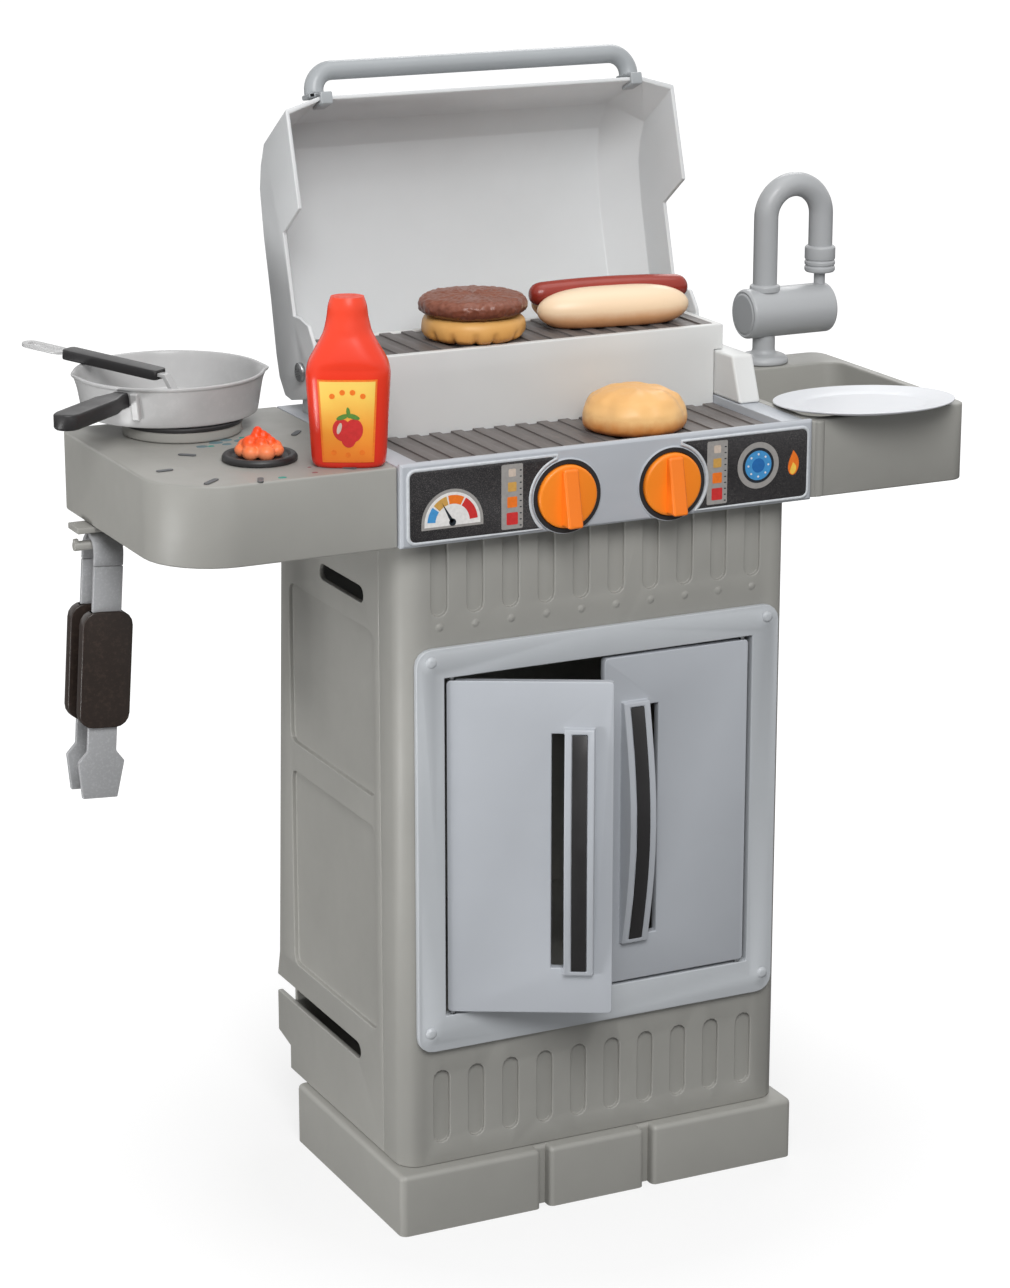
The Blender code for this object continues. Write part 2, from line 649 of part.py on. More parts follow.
def make_cabinet_front():
    half = HALF_CABINET
    outer_radius = PILLAR_RADIUS
    inner_radius = PILLAR_RADIUS - WALL
    left = (-half + outer_radius, outer_radius)
    right = (half - outer_radius, outer_radius)
    outline = [(-half, PILLAR_DEPTH)] + arc(left, outer_radius, 180, 270, 5)
    outline += arc(right, outer_radius, 270, 360, 5) + [(half, PILLAR_DEPTH)]
    outline += [(half - WALL, PILLAR_DEPTH)] + arc(right, inner_radius, 360, 270, 5)
    outline += arc(left, inner_radius, 270, 180, 5) + [(-half + WALL, PILLAR_DEPTH)]
    front = prism("cabinet_front", outline, "Z", (PLINTH_HEIGHT + GAP, CABINET_TOP))
    hole = DOORWAY_WIDTH / 2 + COLLAR_WALL + GAP
    hole_z = (DOORWAY_BOTTOM - COLLAR_WALL - GAP, DOORWAY_TOP + COLLAR_WALL + GAP)
    doorway = box("doorway", (-hole, hole), (-OVERRUN, WALL + OVERRUN), hole_z)
    r = RIB_WIDTH / 2
    grooves = []
    dots = []
    for x in rib_places():
        span = (x - r, x + r)
        upper = rounded(span, (UPPER_RIB_BOTTOM, CABINET_TOP + OVERRUN), (r, r, 0, 0), 3)
        lower = rounded(span, (LOWER_RIB_BOTTOM, LOWER_RIB_TOP), (r, r, r, r), 3)
        for outline in (upper, lower):
            grooves.append(prism("groove", outline, "Y", (-OVERRUN, RIB_DEPTH)))
        dome = [(0, -DOT_PROUD), (DOT_RADIUS, 0), (DOT_RADIUS, RIB_DEPTH), (0, RIB_DEPTH)]
        dots.append(turned("dot", dome, (x, 0, DOT_HEIGHT), "Y", 8))
    cut(front, doorway, bunch("grooves", grooves))
    return fuse(front, bunch("dots", dots))


def back_line(z):
    """How far back the sloping rear edge of the cabinet lies at a height."""
    share = (z - SIDE_SHOULDER) / (CABINET_TOP - SIDE_SHOULDER)
    return CABINET_DEPTH_LOW + share * (CABINET_DEPTH_TOP - CABINET_DEPTH_LOW)


def make_side_panel():
    """The left side panel, seen from outside as an outline in y and z."""
    front = PILLAR_DEPTH + GAP
    low = PLINTH_HEIGHT + GAP
    outline = [
        (front, low), (SIDE_FOOT_BACK, low), (SIDE_FOOT_BACK, HOOK_BOTTOM),
        (HOOK_BACK, HOOK_BOTTOM + OVERRUN), (HOOK_BACK, HOOK_SLOT_Z[1]),
        (CABINET_DEPTH_LOW, SIDE_SHOULDER), (CABINET_DEPTH_TOP, CABINET_TOP), (front, CABINET_TOP),
    ]
    side = prism("side_panel_left", outline, "X", (-HALF_CABINET, -HALF_CABINET + WALL))
    depth = (-HALF_CABINET - OVERRUN, -HALF_CABINET + SIDE_RECESS)
    radii = (RECESS_RADIUS,) * 4
    recesses = [
        prism("recess", rounded((SIDE_RECESS_FRONT, SIDE_RECESS_BACK), z, radii, 2), "X", depth)
        for z in (UPPER_RECESS, LOWER_RECESS)
    ]
    through = (-HALF_CABINET - OVERRUN, -HALF_CABINET + WALL + OVERRUN)
    r = (VENT_Z[1] - VENT_Z[0]) / 2
    vent = prism("vent", rounded(VENT_Y, VENT_Z, (r, r, r, r), 3), "X", through)
    r = (HOOK_SLOT_Z[1] - HOOK_SLOT_Z[0]) / 2
    slot_y = (HOOK_SLOT_FRONT, HOOK_BACK + OVERRUN)
    slot = prism("slot", rounded(slot_y, HOOK_SLOT_Z, (r, 0, 0, r), 3), "X", through)
    return cut(side, bunch("recesses", recesses), bunch("slots", (vent, slot)))


def make_back_panel():
    half = HALF_CABINET - WALL - GAP
    low = PLINTH_HEIGHT + GAP
    high = CABINET_TOP
    foot = SIDE_FOOT_BACK
    line = [
        (foot, low), (foot, HOOK_SLOT_Z[1]),
        (back_line(SIDE_SHOULDER), SIDE_SHOULDER), (back_line(high), high),
    ]
    outline = line + [(y - BACK_THICKNESS, z) for y, z in reversed(line)]
    return prism("back_panel", outline, "X", (-half, half))


def make_cabinet_floor():
    half = HALF_CABINET - WALL - GAP
    z = (FLOOR_TOP - FLOOR_THICKNESS, FLOOR_TOP)
    y = (WALL + GAP, back_line(FLOOR_TOP) - BACK_THICKNESS - GAP)
    r = PILLAR_RADIUS - WALL
    floor = prism("cabinet_floor", rounded((-half, half), y, (r, r, 0, 0)), "Z", z)
    collar = DOORWAY_WIDTH / 2 + COLLAR_WALL + GAP
    notch_z = (z[0] - OVERRUN, z[1] + OVERRUN)
    notch = box("notch", (-collar, collar), (0, WALL + FRAME_PROUD / 2), notch_z)
    return cut(floor, notch)


# Door frame and doors

def make_door_frame():
    half = FRAME_WIDTH / 2
    opening = DOORWAY_WIDTH / 2
    collar = opening + COLLAR_WALL
    radii = (FRAME_RADIUS,) * 4
    plate = rounded((-half, half), (FRAME_BOTTOM, FRAME_TOP), radii)
    frame = prism("door_frame", plate, "Y", (-FRAME_PROUD, -GAP))
    collar_z = (DOORWAY_BOTTOM - COLLAR_WALL, DOORWAY_TOP + COLLAR_WALL)
    fuse(frame, box("collar", (-collar, collar), (-FRAME_PROUD / 2, WALL), collar_z))
    domes = []
    for x in (-half + BOSS_INSET, half - BOSS_INSET):
        for z in ((FRAME_BOTTOM + DOORWAY_BOTTOM) / 2, (FRAME_TOP + DOORWAY_TOP) / 2):
            dome = [(0, -BOSS_PROUD), (BOSS_RADIUS / 2, -BOSS_PROUD), (BOSS_RADIUS, 0)]
            dome += [(BOSS_RADIUS, FRAME_PROUD / 2), (0, FRAME_PROUD / 2)]
            domes.append(turned("boss", dome, (x, -FRAME_PROUD, z), "Y", 14))
    fuse(frame, bunch("bosses", domes))
    through = (-FRAME_PROUD - OVERRUN, WALL + OVERRUN)
    cut(frame, box("opening", (-opening, opening), through, (DOORWAY_BOTTOM, DOORWAY_TOP)))
    depth = PIN_INTO_FRAME + GAP
    holes = []
    for x in (-DOOR_AXIS_X, DOOR_AXIS_X):
        radius = PIN_RADIUS + PIN_CLEARANCE
        centre = (x, DOOR_AXIS_Y, 0)
        span = (DOORWAY_BOTTOM - depth, DOORWAY_BOTTOM + OVERRUN)
        holes.append(rod("hole", radius, centre, "Z", span, 12))
        span = (DOORWAY_TOP - OVERRUN, DOORWAY_TOP + depth)
        holes.append(rod("hole", radius, centre, "Z", span, 12))
    return cut(frame, bunch("holes", holes))


def bow(share, extra=0):
    """The front of the bowed grip at a share of its height; extra is measured inwards."""
    return -FRAME_PROUD - GRIP_END_PROUD - GRIP_BOW * math.sin(math.pi * share) + extra


def bow_points(z, extra=0):
    """The bowed front line between two heights, from low to high."""
    heights = [z[0] + (z[1] - z[0]) * i / GRIP_STEPS for i in range(GRIP_STEPS + 1)]
    length = GRIP_TOP - GRIP_BOTTOM
    return [(bow((h - GRIP_BOTTOM) / length, extra), h) for h in heights]


def inlay_x():
    middle = -DOOR_MIDDLE_GAP / 2 - GRIP_INSET - GRIP_WIDTH / 2
    return (middle - INLAY_WIDTH / 2, middle + INLAY_WIDTH / 2)


def inlay_z():
    return (GRIP_BOTTOM + INLAY_END, GRIP_TOP - INLAY_END)


def make_left_door():
    """The left door in its closed place."""
    hinge_edge = -DOORWAY_WIDTH / 2 + DOOR_SIDE_GAP
    free_edge = -DOOR_MIDDLE_GAP / 2
    front = -FRAME_PROUD
    back = front + DOOR_THICKNESS
    r = DOOR_RADIUS
    outline = rounded((hinge_edge, free_edge), (DOOR_BOTTOM, DOOR_TOP), (r, r, r, r), 2)
    door = prism("door_left", outline, "Y", (front, back))
    grip_x = (free_edge - GRIP_INSET - GRIP_WIDTH, free_edge - GRIP_INSET)
    inside = front + DOOR_THICKNESS / 2
    grip_outline = [(inside, GRIP_BOTTOM)] + bow_points((GRIP_BOTTOM, GRIP_TOP))
    grip_outline.append((inside, GRIP_TOP))
    fuse(door, prism("grip", grip_outline, "X", grip_x))
    slot_x = (grip_x[0] - FINGER_SLOT_WIDTH, grip_x[0])
    slot_z = (GRIP_BOTTOM + FINGER_SLOT_END, GRIP_TOP - FINGER_SLOT_END)
    slot = box("slot", slot_x, (front - OVERRUN, back + OVERRUN), slot_z)
    hollow_z = (GRIP_BOTTOM + 2 * FINGER_SLOT_END, GRIP_TOP - 2 * FINGER_SLOT_END)
    hollow_outline = [(back + OVERRUN, hollow_z[0])]
    hollow_outline += bow_points(hollow_z, GRIP_WALL) + [(back + OVERRUN, hollow_z[1])]
    hollow = prism("hollow", hollow_outline, "X", (slot_x[1] - GRIP_WALL, grip_x[1] - GRIP_WALL))
    groove_z = inlay_z()
    outside = bow(0.5) - OVERRUN
    groove_outline = [(outside, groove_z[0])] + bow_points(groove_z, INLAY_GROOVE)
    groove_outline.append((outside, groove_z[1]))
    x = inlay_x()
    groove = prism("groove", groove_outline, "X", (x[0] - GAP, x[1] + GAP))
    radius = PIN_RADIUS + PIN_CLEARANCE
    centre = (-DOOR_AXIS_X, DOOR_AXIS_Y, 0)
    depth = PIN_INTO_DOOR + GAP
    holes = (
        rod("hole", radius, centre, "Z", (DOOR_BOTTOM - OVERRUN, DOOR_BOTTOM + depth), 12),
        rod("hole", radius, centre, "Z", (DOOR_TOP - depth, DOOR_TOP + OVERRUN), 12),
    )
    return cut(door, slot, hollow, groove, bunch("holes", holes))


def make_left_inlay():
    z = (inlay_z()[0] + GAP, inlay_z()[1] - GAP)
    outline = bow_points(z, -INLAY_PROUD) + bow_points(z, INLAY_GROOVE - GAP)[::-1]
    return prism("grip_inlay_left", outline, "X", inlay_x())


def make_door_pin(name, side, at_top):
    centre = (side * DOOR_AXIS_X, DOOR_AXIS_Y, 0)
    if at_top:
        span = (DOOR_TOP - PIN_INTO_DOOR, DOORWAY_TOP + PIN_INTO_FRAME)
    else:
        span = (DOORWAY_BOTTOM - PIN_INTO_FRAME, DOOR_BOTTOM + PIN_INTO_DOOR)
    return rod(name, PIN_RADIUS, centre, "Z", span, 12)


# Worktop

def make_left_worktop():
    inner = -HALF_TOP
    outer = LEFT_WING_EDGE
    y = (COUNTER_FRONT, COUNTER_BACK)
    radii = (WING_CORNER_RADIUS, 0, 0, WING_BACK_RADIUS)
    outline = rounded((outer, inner), y, radii, 8)
    top = prism("worktop_left", outline, "Z", (COUNTER_BOTTOM, COUNTER_TOP))
    w = WING_WALL
    radii = (WING_CORNER_RADIUS - w, 0, 0, WING_BACK_RADIUS - w)
    outline = rounded((outer + w, inner - w), (y[0] + w, y[1] - w), radii, 8)
    return cut(top, prism("hollow", outline, "Z", (COUNTER_BOTTOM - OVERRUN, COUNTER_TOP - w)))


def basin():
    """The spans of the sink basin in x, y and z."""
    inner = HALF_TOP
    x = (inner + BASIN_INSET_LEFT, inner + RIGHT_WING_LENGTH - BASIN_INSET_RIGHT)
    y = (COUNTER_FRONT + BASIN_INSET_FRONT, COUNTER_BACK - BASIN_LEDGE)
    return x, y, (COUNTER_TOP - BASIN_DEPTH, COUNTER_TOP)


def make_right_worktop():
    inner = HALF_TOP
    outer = inner + RIGHT_WING_LENGTH
    y = (COUNTER_FRONT, COUNTER_BACK)
    r = WING_BACK_RADIUS
    outline = rounded((inner, outer), y, (WING_PANEL_RADIUS, r, r, 0))
    top = prism("worktop_right", outline, "Z", (COUNTER_BOTTOM, COUNTER_TOP))
    w = WING_WALL
    bx, by, bz = basin()
    corner = WING_PANEL_RADIUS - w
    hollow = rounded((inner + w, outer - w), (y[0] + w, y[1] - w), (corner, r - w, r - w, 0))
    low = COUNTER_BOTTOM - OVERRUN
    under = prism("under", hollow, "Z", (low, bz[0] - w))
    ledge = rounded((inner + w, outer - w), (by[1] + w, y[1] - w), (0, 0, r - w, 0))
    behind = prism("behind", ledge, "Z", (low, COUNTER_TOP - w))
    radii = (BASIN_RADIUS,) * 4
    pocket = prism("pocket", rounded(bx, by, radii), "Z", (bz[0], bz[1] + OVERRUN))
    radius = ANCHOR_RADIUS + GAP
    span = (COUNTER_TOP - w - OVERRUN, COUNTER_TOP + OVERRUN)
    hole = rod("hole", radius, (FAUCET_X, FAUCET_Y, 0), "Z", span)
    return cut(top, under, behind, pocket, hole)


def make_grill_deck():
    half = HALF_DECK
    y = (COUNTER_FRONT + GAP, COUNTER_BACK)
    deck = box("grill_deck", (-half, half), y, (COUNTER_BOTTOM, COUNTER_TOP))
    w = DECK_WALL
    hollow_z = (COUNTER_BOTTOM - OVERRUN, DECK_FLOOR - w)
    hollow = box("hollow", (-half + w, half - w), (y[0] + w, y[1] - w), hollow_z)
    z = (DECK_FLOOR, COUNTER_TOP + OVERRUN)
    inner = FIREBOX_INNER - GAP
    split = FIREBOX_WALL_BACK + GAP
    tray = box("tray", (-inner, inner), (y[0] - OVERRUN, split + OVERRUN), z)
    seat_half = HOUSING_HALF_WIDTH + GAP
    seat = box("seat", (-seat_half, seat_half), (split, HOUSING_BACK + GAP), z)
    stems = []
    for x in KNOB_X:
        centre = (x, 0, KNOB_Z)
        span = (y[0] - OVERRUN, y[0] + w + OVERRUN)
        stems.append(rod("stem_hole", KNOB_STEM_RADIUS + GAP, centre, "Y", span))
    return cut(deck, hollow, tray, seat, bunch("stem_holes", stems))


def make_firebox_wall():
    """The left wall; its front edge leans back."""
    y = (FIREBOX_WALL_FRONT, FIREBOX_WALL_BACK)
    z = (ON_COUNTER, FIREBOX_WALL_TOP)
    outline = [(y[0], z[0]), (y[1], z[0]), (y[1], z[1]), (y[0] + FIREBOX_WALL_SLANT, z[1])]
    return prism("firebox_wall_left", outline, "X", (-HALF_DECK, -FIREBOX_INNER))


def ribbed(name, half, y, z, ribs):
    """A plate with ribs along y on its top."""
    step = 2 * half / (2 * ribs + 1)
    floor = z[1] - GRATE_RIB_HEIGHT
    outline = [(-half, z[0]), (half, z[0])]
    for i in range(ribs):
        right = half - step * (2 * i)
        left = right - step
        outline += [(right, z[1]), (left, z[1]), (left, floor), (left - step, floor)]
    outline += [(-half + step, z[1]), (-half, z[1])]
    return prism(name, outline, "Y", y)


def make_lower_grate():
    half = FIREBOX_INNER - LOWER_GRATE_MARGIN
    y = (COUNTER_FRONT + LOWER_GRATE_MARGIN, HOUSING_FRONT - LOWER_GRATE_MARGIN)
    return ribbed("lower_grate", half, y, (DECK_FLOOR + GAP, LOWER_GRATE_TOP), GRATE_RIBS)


def make_grate_housing():
    half = HOUSING_HALF_WIDTH
    y = (HOUSING_FRONT, HOUSING_BACK)
    low = DECK_FLOOR + GAP
    housing = box("grate_housing", (-half, half), y, (low, HOUSING_TOP))
    narrow = FIREBOX_INNER - GAP
    corners = []
    for x in ((-half - OVERRUN, -narrow), (narrow, half + OVERRUN)):
        corner_y = (y[0] - OVERRUN, FIREBOX_WALL_BACK + GAP)
        corners.append(box("corner", x, corner_y, (low - OVERRUN, FIREBOX_WALL_TOP + GAP)))
    w = HOUSING_WALL
    plate_floor = HOUSING_TOP - UPPER_GRATE_THICKNESS - GAP
    hollow_z = (low - OVERRUN, plate_floor - w)
    hollow = box("hollow", (-narrow + w, narrow - w), (y[0] + w, y[1] - w), hollow_z)
    margin = UPPER_GRATE_MARGIN - GAP
    seat_x = (-half + margin, half - margin)
    seat_z = (plate_floor, HOUSING_TOP + OVERRUN)
    seat = box("seat", seat_x, (y[0] + margin, y[1] - margin), seat_z)
    pins = []
    for side in (-1, 1):
        centre = (side * half, LID_HINGE_Y, LID_HINGE_Z)
        depth = LID_PIN_INTO_HOUSING + GAP
        pins.append(rod("pin_hole", LID_PIN_RADIUS + GAP, centre, "X", (-depth, depth)))
    return cut(housing, bunch("corners", corners), hollow, seat, bunch("pin_holes", pins))


def make_upper_grate():
    half = HOUSING_HALF_WIDTH - UPPER_GRATE_MARGIN
    y = (HOUSING_FRONT + UPPER_GRATE_MARGIN, HOUSING_BACK - UPPER_GRATE_MARGIN)
    z = (HOUSING_TOP - UPPER_GRATE_THICKNESS, HOUSING_TOP)
    return ribbed("upper_grate", half, y, z, GRATE_RIBS)


# Control panel

def make_control_panel():
    half = HALF_TOP
    c = PANEL_CHAMFER
    front = PANEL_FRONT
    back = COUNTER_FRONT
    z = (COUNTER_BOTTOM, PANEL_TOP)

    def ring(inset, y):
        return [
            (-half + inset, y, z[0] + inset), (half - inset, y, z[0] + inset),
            (half - inset, y, z[1] - inset), (-half + inset, y, z[1] - inset),
        ]

    panel = loft("control_panel", [ring(c, front), ring(0, front + c), ring(0, back)])
    outer = KNOB_HOLE_RADIUS + KNOB_RING_WIDTH
    rings = []
    holes = []
    through = (front - OVERRUN, back + OVERRUN)
    for x in KNOB_X:
        centre = (x, 0, KNOB_Z)
        rings.append(rod("ring", outer, centre, "Y", (front - KNOB_RING_PROUD, front + c), 32))
        holes.append(rod("hole", KNOB_HOLE_RADIUS, centre, "Y", through, 32))
    fuse(panel, bunch("rings", rings))
    return cut(panel, bunch("holes", holes))


def make_label(name, x, knob_x):
    """A plate whose end beside the knob is hollowed round that knob."""
    r = LABEL_RADIUS
    outline = rounded(x, LABEL_Z, (r, r, r, r), 3)
    back = PANEL_FRONT - GAP
    label = prism(name, outline, "Y", (back - LABEL_THICKNESS, back))
    span = (back - OVERRUN, back + OVERRUN)
    return cut(label, rod("hollow", LABEL_TO_KNOB_CENTRE, (knob_x, 0, KNOB_Z), "Y", span, 48))


def knob_back():
    return COUNTER_FRONT + GAP - KNOB_BACK_GAP


def make_knob(name, x):
    back = knob_back()
    front = back - KNOB_BODY
    stem_end = COUNTER_FRONT + GAP + DECK_WALL + KNOB_BACK_GAP
    e = KNOB_EDGE
    profile = [
        (0, front), (KNOB_RADIUS - e, front), (KNOB_RADIUS, front + e), (KNOB_RADIUS, back),
        (KNOB_STEM_RADIUS, back), (KNOB_STEM_RADIUS, stem_end), (0, stem_end),
    ]
    knob = turned(name, profile, (x, 0, KNOB_Z), "Y", 28)
    half = KNOB_RIDGE_WIDTH / 2
    reach = KNOB_RADIUS - e
    ridge_z = (KNOB_Z - reach, KNOB_Z + reach)
    proud = front - KNOB_RIDGE_PROUD
    top_proud = front - KNOB_RIDGE_TOP_PROUD
    outline = [(front + e, ridge_z[0]), (proud + e, ridge_z[0]), (proud, ridge_z[0] + e)]
    outline += [(top_proud, ridge_z[1] - e), (top_proud + e, ridge_z[1]), (front + e, ridge_z[1])]
    fuse(knob, prism("ridge", outline, "X", (x - half, x + half)))
    span = (stem_end - KNOB_SCREW_LENGTH - GAP, stem_end + OVERRUN)
    screw = rod("screw", KNOB_SCREW_RADIUS + GAP, (x, 0, KNOB_Z), "Y", span, 12)
    return cut(knob, screw)


def make_knob_screw(name, x):
    stem_end = COUNTER_FRONT + GAP + DECK_WALL + KNOB_BACK_GAP
    head = stem_end + GAP
    profile = [
        (0, stem_end - KNOB_SCREW_LENGTH),
        (KNOB_SCREW_RADIUS, stem_end - KNOB_SCREW_LENGTH),
        (KNOB_SCREW_RADIUS, head), (KNOB_SCREW_HEAD_RADIUS, head),
        (KNOB_SCREW_HEAD_RADIUS, head + KNOB_SCREW_HEAD), (0, head + KNOB_SCREW_HEAD),
    ]
    return turned(name, profile, (x, 0, KNOB_Z), "Y", 12)


# Lid and its handle, in the closed place

def lid_points(shares):
    return [(LID_HINGE_Y + LID_FRONT * a, LID_HINGE_Z + LID_HEIGHT * b) for a, b in shares]


def inwards(points, distance):
    """A line moved sideways by a distance, towards the inside of the lid."""
    moved = []
    for i, point in enumerate(points):
        before = Vector(points[max(i - 1, 0)])
        after = Vector(points[min(i + 1, len(points) - 1)])
        along = (after - before).normalized()
        moved.append((point[0] + along.y * distance, point[1] - along.x * distance))
    return moved


def make_lid():
    side = lid_points(LID_SIDE_SHARES)
    middle = lid_points(LID_MIDDLE_SHARES)
    edge = lid_points(LID_EDGE_SHARES)
    x_out = LID_HALF_WIDTH
    x_corner = LID_HALF_WIDTH - LID_CORNER

    def solid(name, x_side, x_middle, side_line, middle_line, lower):
        sections = []
        across = (
            (-x_side, side_line), (-x_middle, middle_line),
            (x_middle, middle_line), (x_side, side_line),
        )
        for x, line in across:
            sections.append([(x, y, z) for y, z in line + lower])
        return loft(name, sections)

    lid = solid("lid", x_out, x_corner, side, middle, edge)
    w = LID_WALL
    side_in = inwards(side, w)
    middle_in = inwards(middle, w)
    low = LID_HINGE_Z - LID_LIP_BELOW - LID_CUT_DEPTH
    back = LID_HINGE_Y + LID_CUT_DEPTH
    lower_in = [(back, side_in[-1][1]), (back, low), (LID_HINGE_Y - LID_FRONT + w, low)]
    inner = solid("inside", x_out - w, x_corner, side_in, middle_in, lower_in)
    cut(lid, inner)
    span = (-LID_HALF_WIDTH - OVERRUN, LID_HALF_WIDTH + OVERRUN)
    hinge = rod("hinge_holes", LID_PIN_RADIUS + GAP, (0, LID_HINGE_Y, LID_HINGE_Z), "X", span)
    return cut(lid, hinge)


def make_hinge_pin(name):
    """The left pin: its shank goes through the ear of the lid into the housing."""
    x_head = -LID_HALF_WIDTH - GAP
    x_end = -HOUSING_HALF_WIDTH + LID_PIN_INTO_HOUSING
    profile = [
        (0, x_head - LID_PIN_HEAD), (LID_PIN_HEAD_RADIUS, x_head - LID_PIN_HEAD),
        (LID_PIN_HEAD_RADIUS, x_head), (LID_PIN_RADIUS, x_head), (LID_PIN_RADIUS, x_end), (0, x_end),
    ]
    return turned(name, profile, (0, LID_HINGE_Y, LID_HINGE_Z), "X", 16)


def make_lid_handle():
    face = LID_HINGE_Y - LID_FRONT
    near = face - GAP
    far = near - HANDLE_REACH
    half = HANDLE_HALF_WIDTH
    inner = half - HANDLE_LEG
    r = HANDLE_CORNER
    outline = [(-half, near)] + arc((-half + r, far + r), r, 180, 270, 6)
    outline += arc((half - r, far + r), r, 270, 360, 6) + [(half, near), (inner, near)]
    r = HANDLE_INNER_CORNER
    bar = far + HANDLE_BAR
    outline += arc((inner - r, bar + r), r, 360, 270, 3)
    outline += arc((-inner + r, bar + r), r, 270, 180, 3) + [(-inner, near)]
    handle = prism("lid_handle", outline, "Z", (HANDLE_BOTTOM, HANDLE_TOP))
    lip = LID_HINGE_Z - LID_LIP_BELOW
    c = HANDLE_CLIP
    inside = face + LID_WALL + GAP
    low, high = lid_points(LID_MIDDLE_SHARES[:2])
    leaning = (HANDLE_CLIP_TOP - lip) * (high[0] - low[0]) / (high[1] - low[1])
    clip = [
        (near - c, HANDLE_BOTTOM + c), (near - c, lip - GAP - c), (inside + c, lip - GAP - c),
        (inside + leaning + c, HANDLE_CLIP_TOP), (inside + leaning, HANDLE_CLIP_TOP),
        (inside, lip - GAP), (near, lip - GAP), (near, HANDLE_BOTTOM + c),
    ]
    limit = LID_HALF_WIDTH - LID_CORNER - GAP
    clips = [prism("clip", clip, "X", x) for x in ((-limit, -inner), (inner, limit))]
    return fuse(handle, bunch("clips", clips))


# Faucet

def make_faucet_base():
    top = STEM_TOP
    under = COUNTER_TOP - ANCHOR_DEPTH
    flange = ON_COUNTER + FLANGE_HEIGHT
    profile = [
        (0, under), (ANCHOR_RADIUS, under), (ANCHOR_RADIUS, ON_COUNTER),
        (FLANGE_RADIUS, ON_COUNTER), (FLANGE_RADIUS, flange - FLANGE_HEIGHT / 2),
        (FLANGE_RADIUS - FLANGE_HEIGHT / 2, flange), (STEM_RADIUS, flange),
        (STEM_RADIUS, top), (SPIGOT_RADIUS, top),
        (SPIGOT_RADIUS, top + SPIGOT_HEIGHT), (0, top + SPIGOT_HEIGHT),
    ]
    return turned("faucet_base", profile, (FAUCET_X, FAUCET_Y, 0), "Z", 24)


def make_mixer_barrel():
    e = BARREL_EDGE
    x = BARREL_X
    r = BARREL_RADIUS
    profile = [(0, x[0]), (r - e, x[0]), (r, x[0] + e), (r, x[1] - e), (r - e, x[1]), (0, x[1])]
    barrel = turned("mixer_barrel", profile, (0, FAUCET_Y, BARREL_Z), "X", 28)
    centre = (FAUCET_X, FAUCET_Y, 0)
    low = BARREL_Z - BARREL_RADIUS - OVERRUN
    high = BARREL_Z + BARREL_RADIUS + OVERRUN
    wide = STEM_RADIUS + GAP
    slim = SPIGOT_RADIUS + GAP
    shelf = STEM_TOP + GAP
    end = STEM_TOP + SPIGOT_HEIGHT + GAP
    seat_profile = [(0, low), (wide, low), (wide, shelf), (slim, shelf), (slim, end), (0, end)]
    seat = turned("seat", seat_profile, centre, "Z", 24)
    socket = rod("socket", SPOUT_RADIUS + GAP, centre, "Z", (SPOUT_SOCKET - GAP, high))
    span = (ROD_SOCKET - GAP, high)
    rod_hole = rod("rod_hole", ROD_RADIUS + GAP, (SPOUT_X_END, FAUCET_Y, 0), "Z", span)
    return cut(barrel, seat, socket, rod_hole)


def make_spout():
    radius = (SPOUT_X_END - FAUCET_X) / 2
    middle = (FAUCET_X + SPOUT_X_END) / 2
    spring = ARCH_TOP - SPOUT_RADIUS - radius
    route = [(FAUCET_X, FAUCET_Y, SPOUT_SOCKET)]
    route += [(x, FAUCET_Y, z) for x, z in arc((middle, spring), radius, 180, 0, SPOUT_STEPS)]
    route.append((SPOUT_X_END, FAUCET_Y, SPOUT_END))
    return pipe("spout", route, SPOUT_RADIUS, 6)


def make_spray_collar():
    bore = SPOUT_RADIUS + GAP
    low = COLLAR_BOTTOM
    high = low + COLLAR_HEIGHT
    shelf = SPOUT_END - GAP
    c = COLLAR_LIP
    profile = [
        (0, low), (COLLAR_RADIUS - c, low), (COLLAR_RADIUS, low + c), (COLLAR_RADIUS, high - c),
        (COLLAR_RADIUS - c / 2, high), (bore, high), (bore, shelf), (0, shelf),
    ]
    collar = turned("spray_collar", profile, (SPOUT_X_END, FAUCET_Y, 0), "Z", 20)
    span = (low - OVERRUN, low + c + GAP)
    return cut(collar, rod("rod_hole", ROD_RADIUS + GAP, (SPOUT_X_END, FAUCET_Y, 0), "Z", span))


def make_spout_rod():
    span = (ROD_SOCKET, COLLAR_BOTTOM + COLLAR_LIP)
    return rod("spout_rod", ROD_RADIUS, (SPOUT_X_END, FAUCET_Y, 0), "Z", span, 14)


# Side burner

def make_burner_disc():
    low = ON_COUNTER
    top = low + BURNER_HEIGHT
    d = BURNER_DISH
    profile = [
        (0, low), (BURNER_RADIUS, low), (BURNER_RADIUS, top - d), (BURNER_RADIUS - d, top),
        (FLAME_RADIUS + d, top), (FLAME_RADIUS + GAP, top - d), (0, top - d),
    ]
    return turned("burner_disc", profile, (BURNER_X, BURNER_Y, 0), "Z", 28)


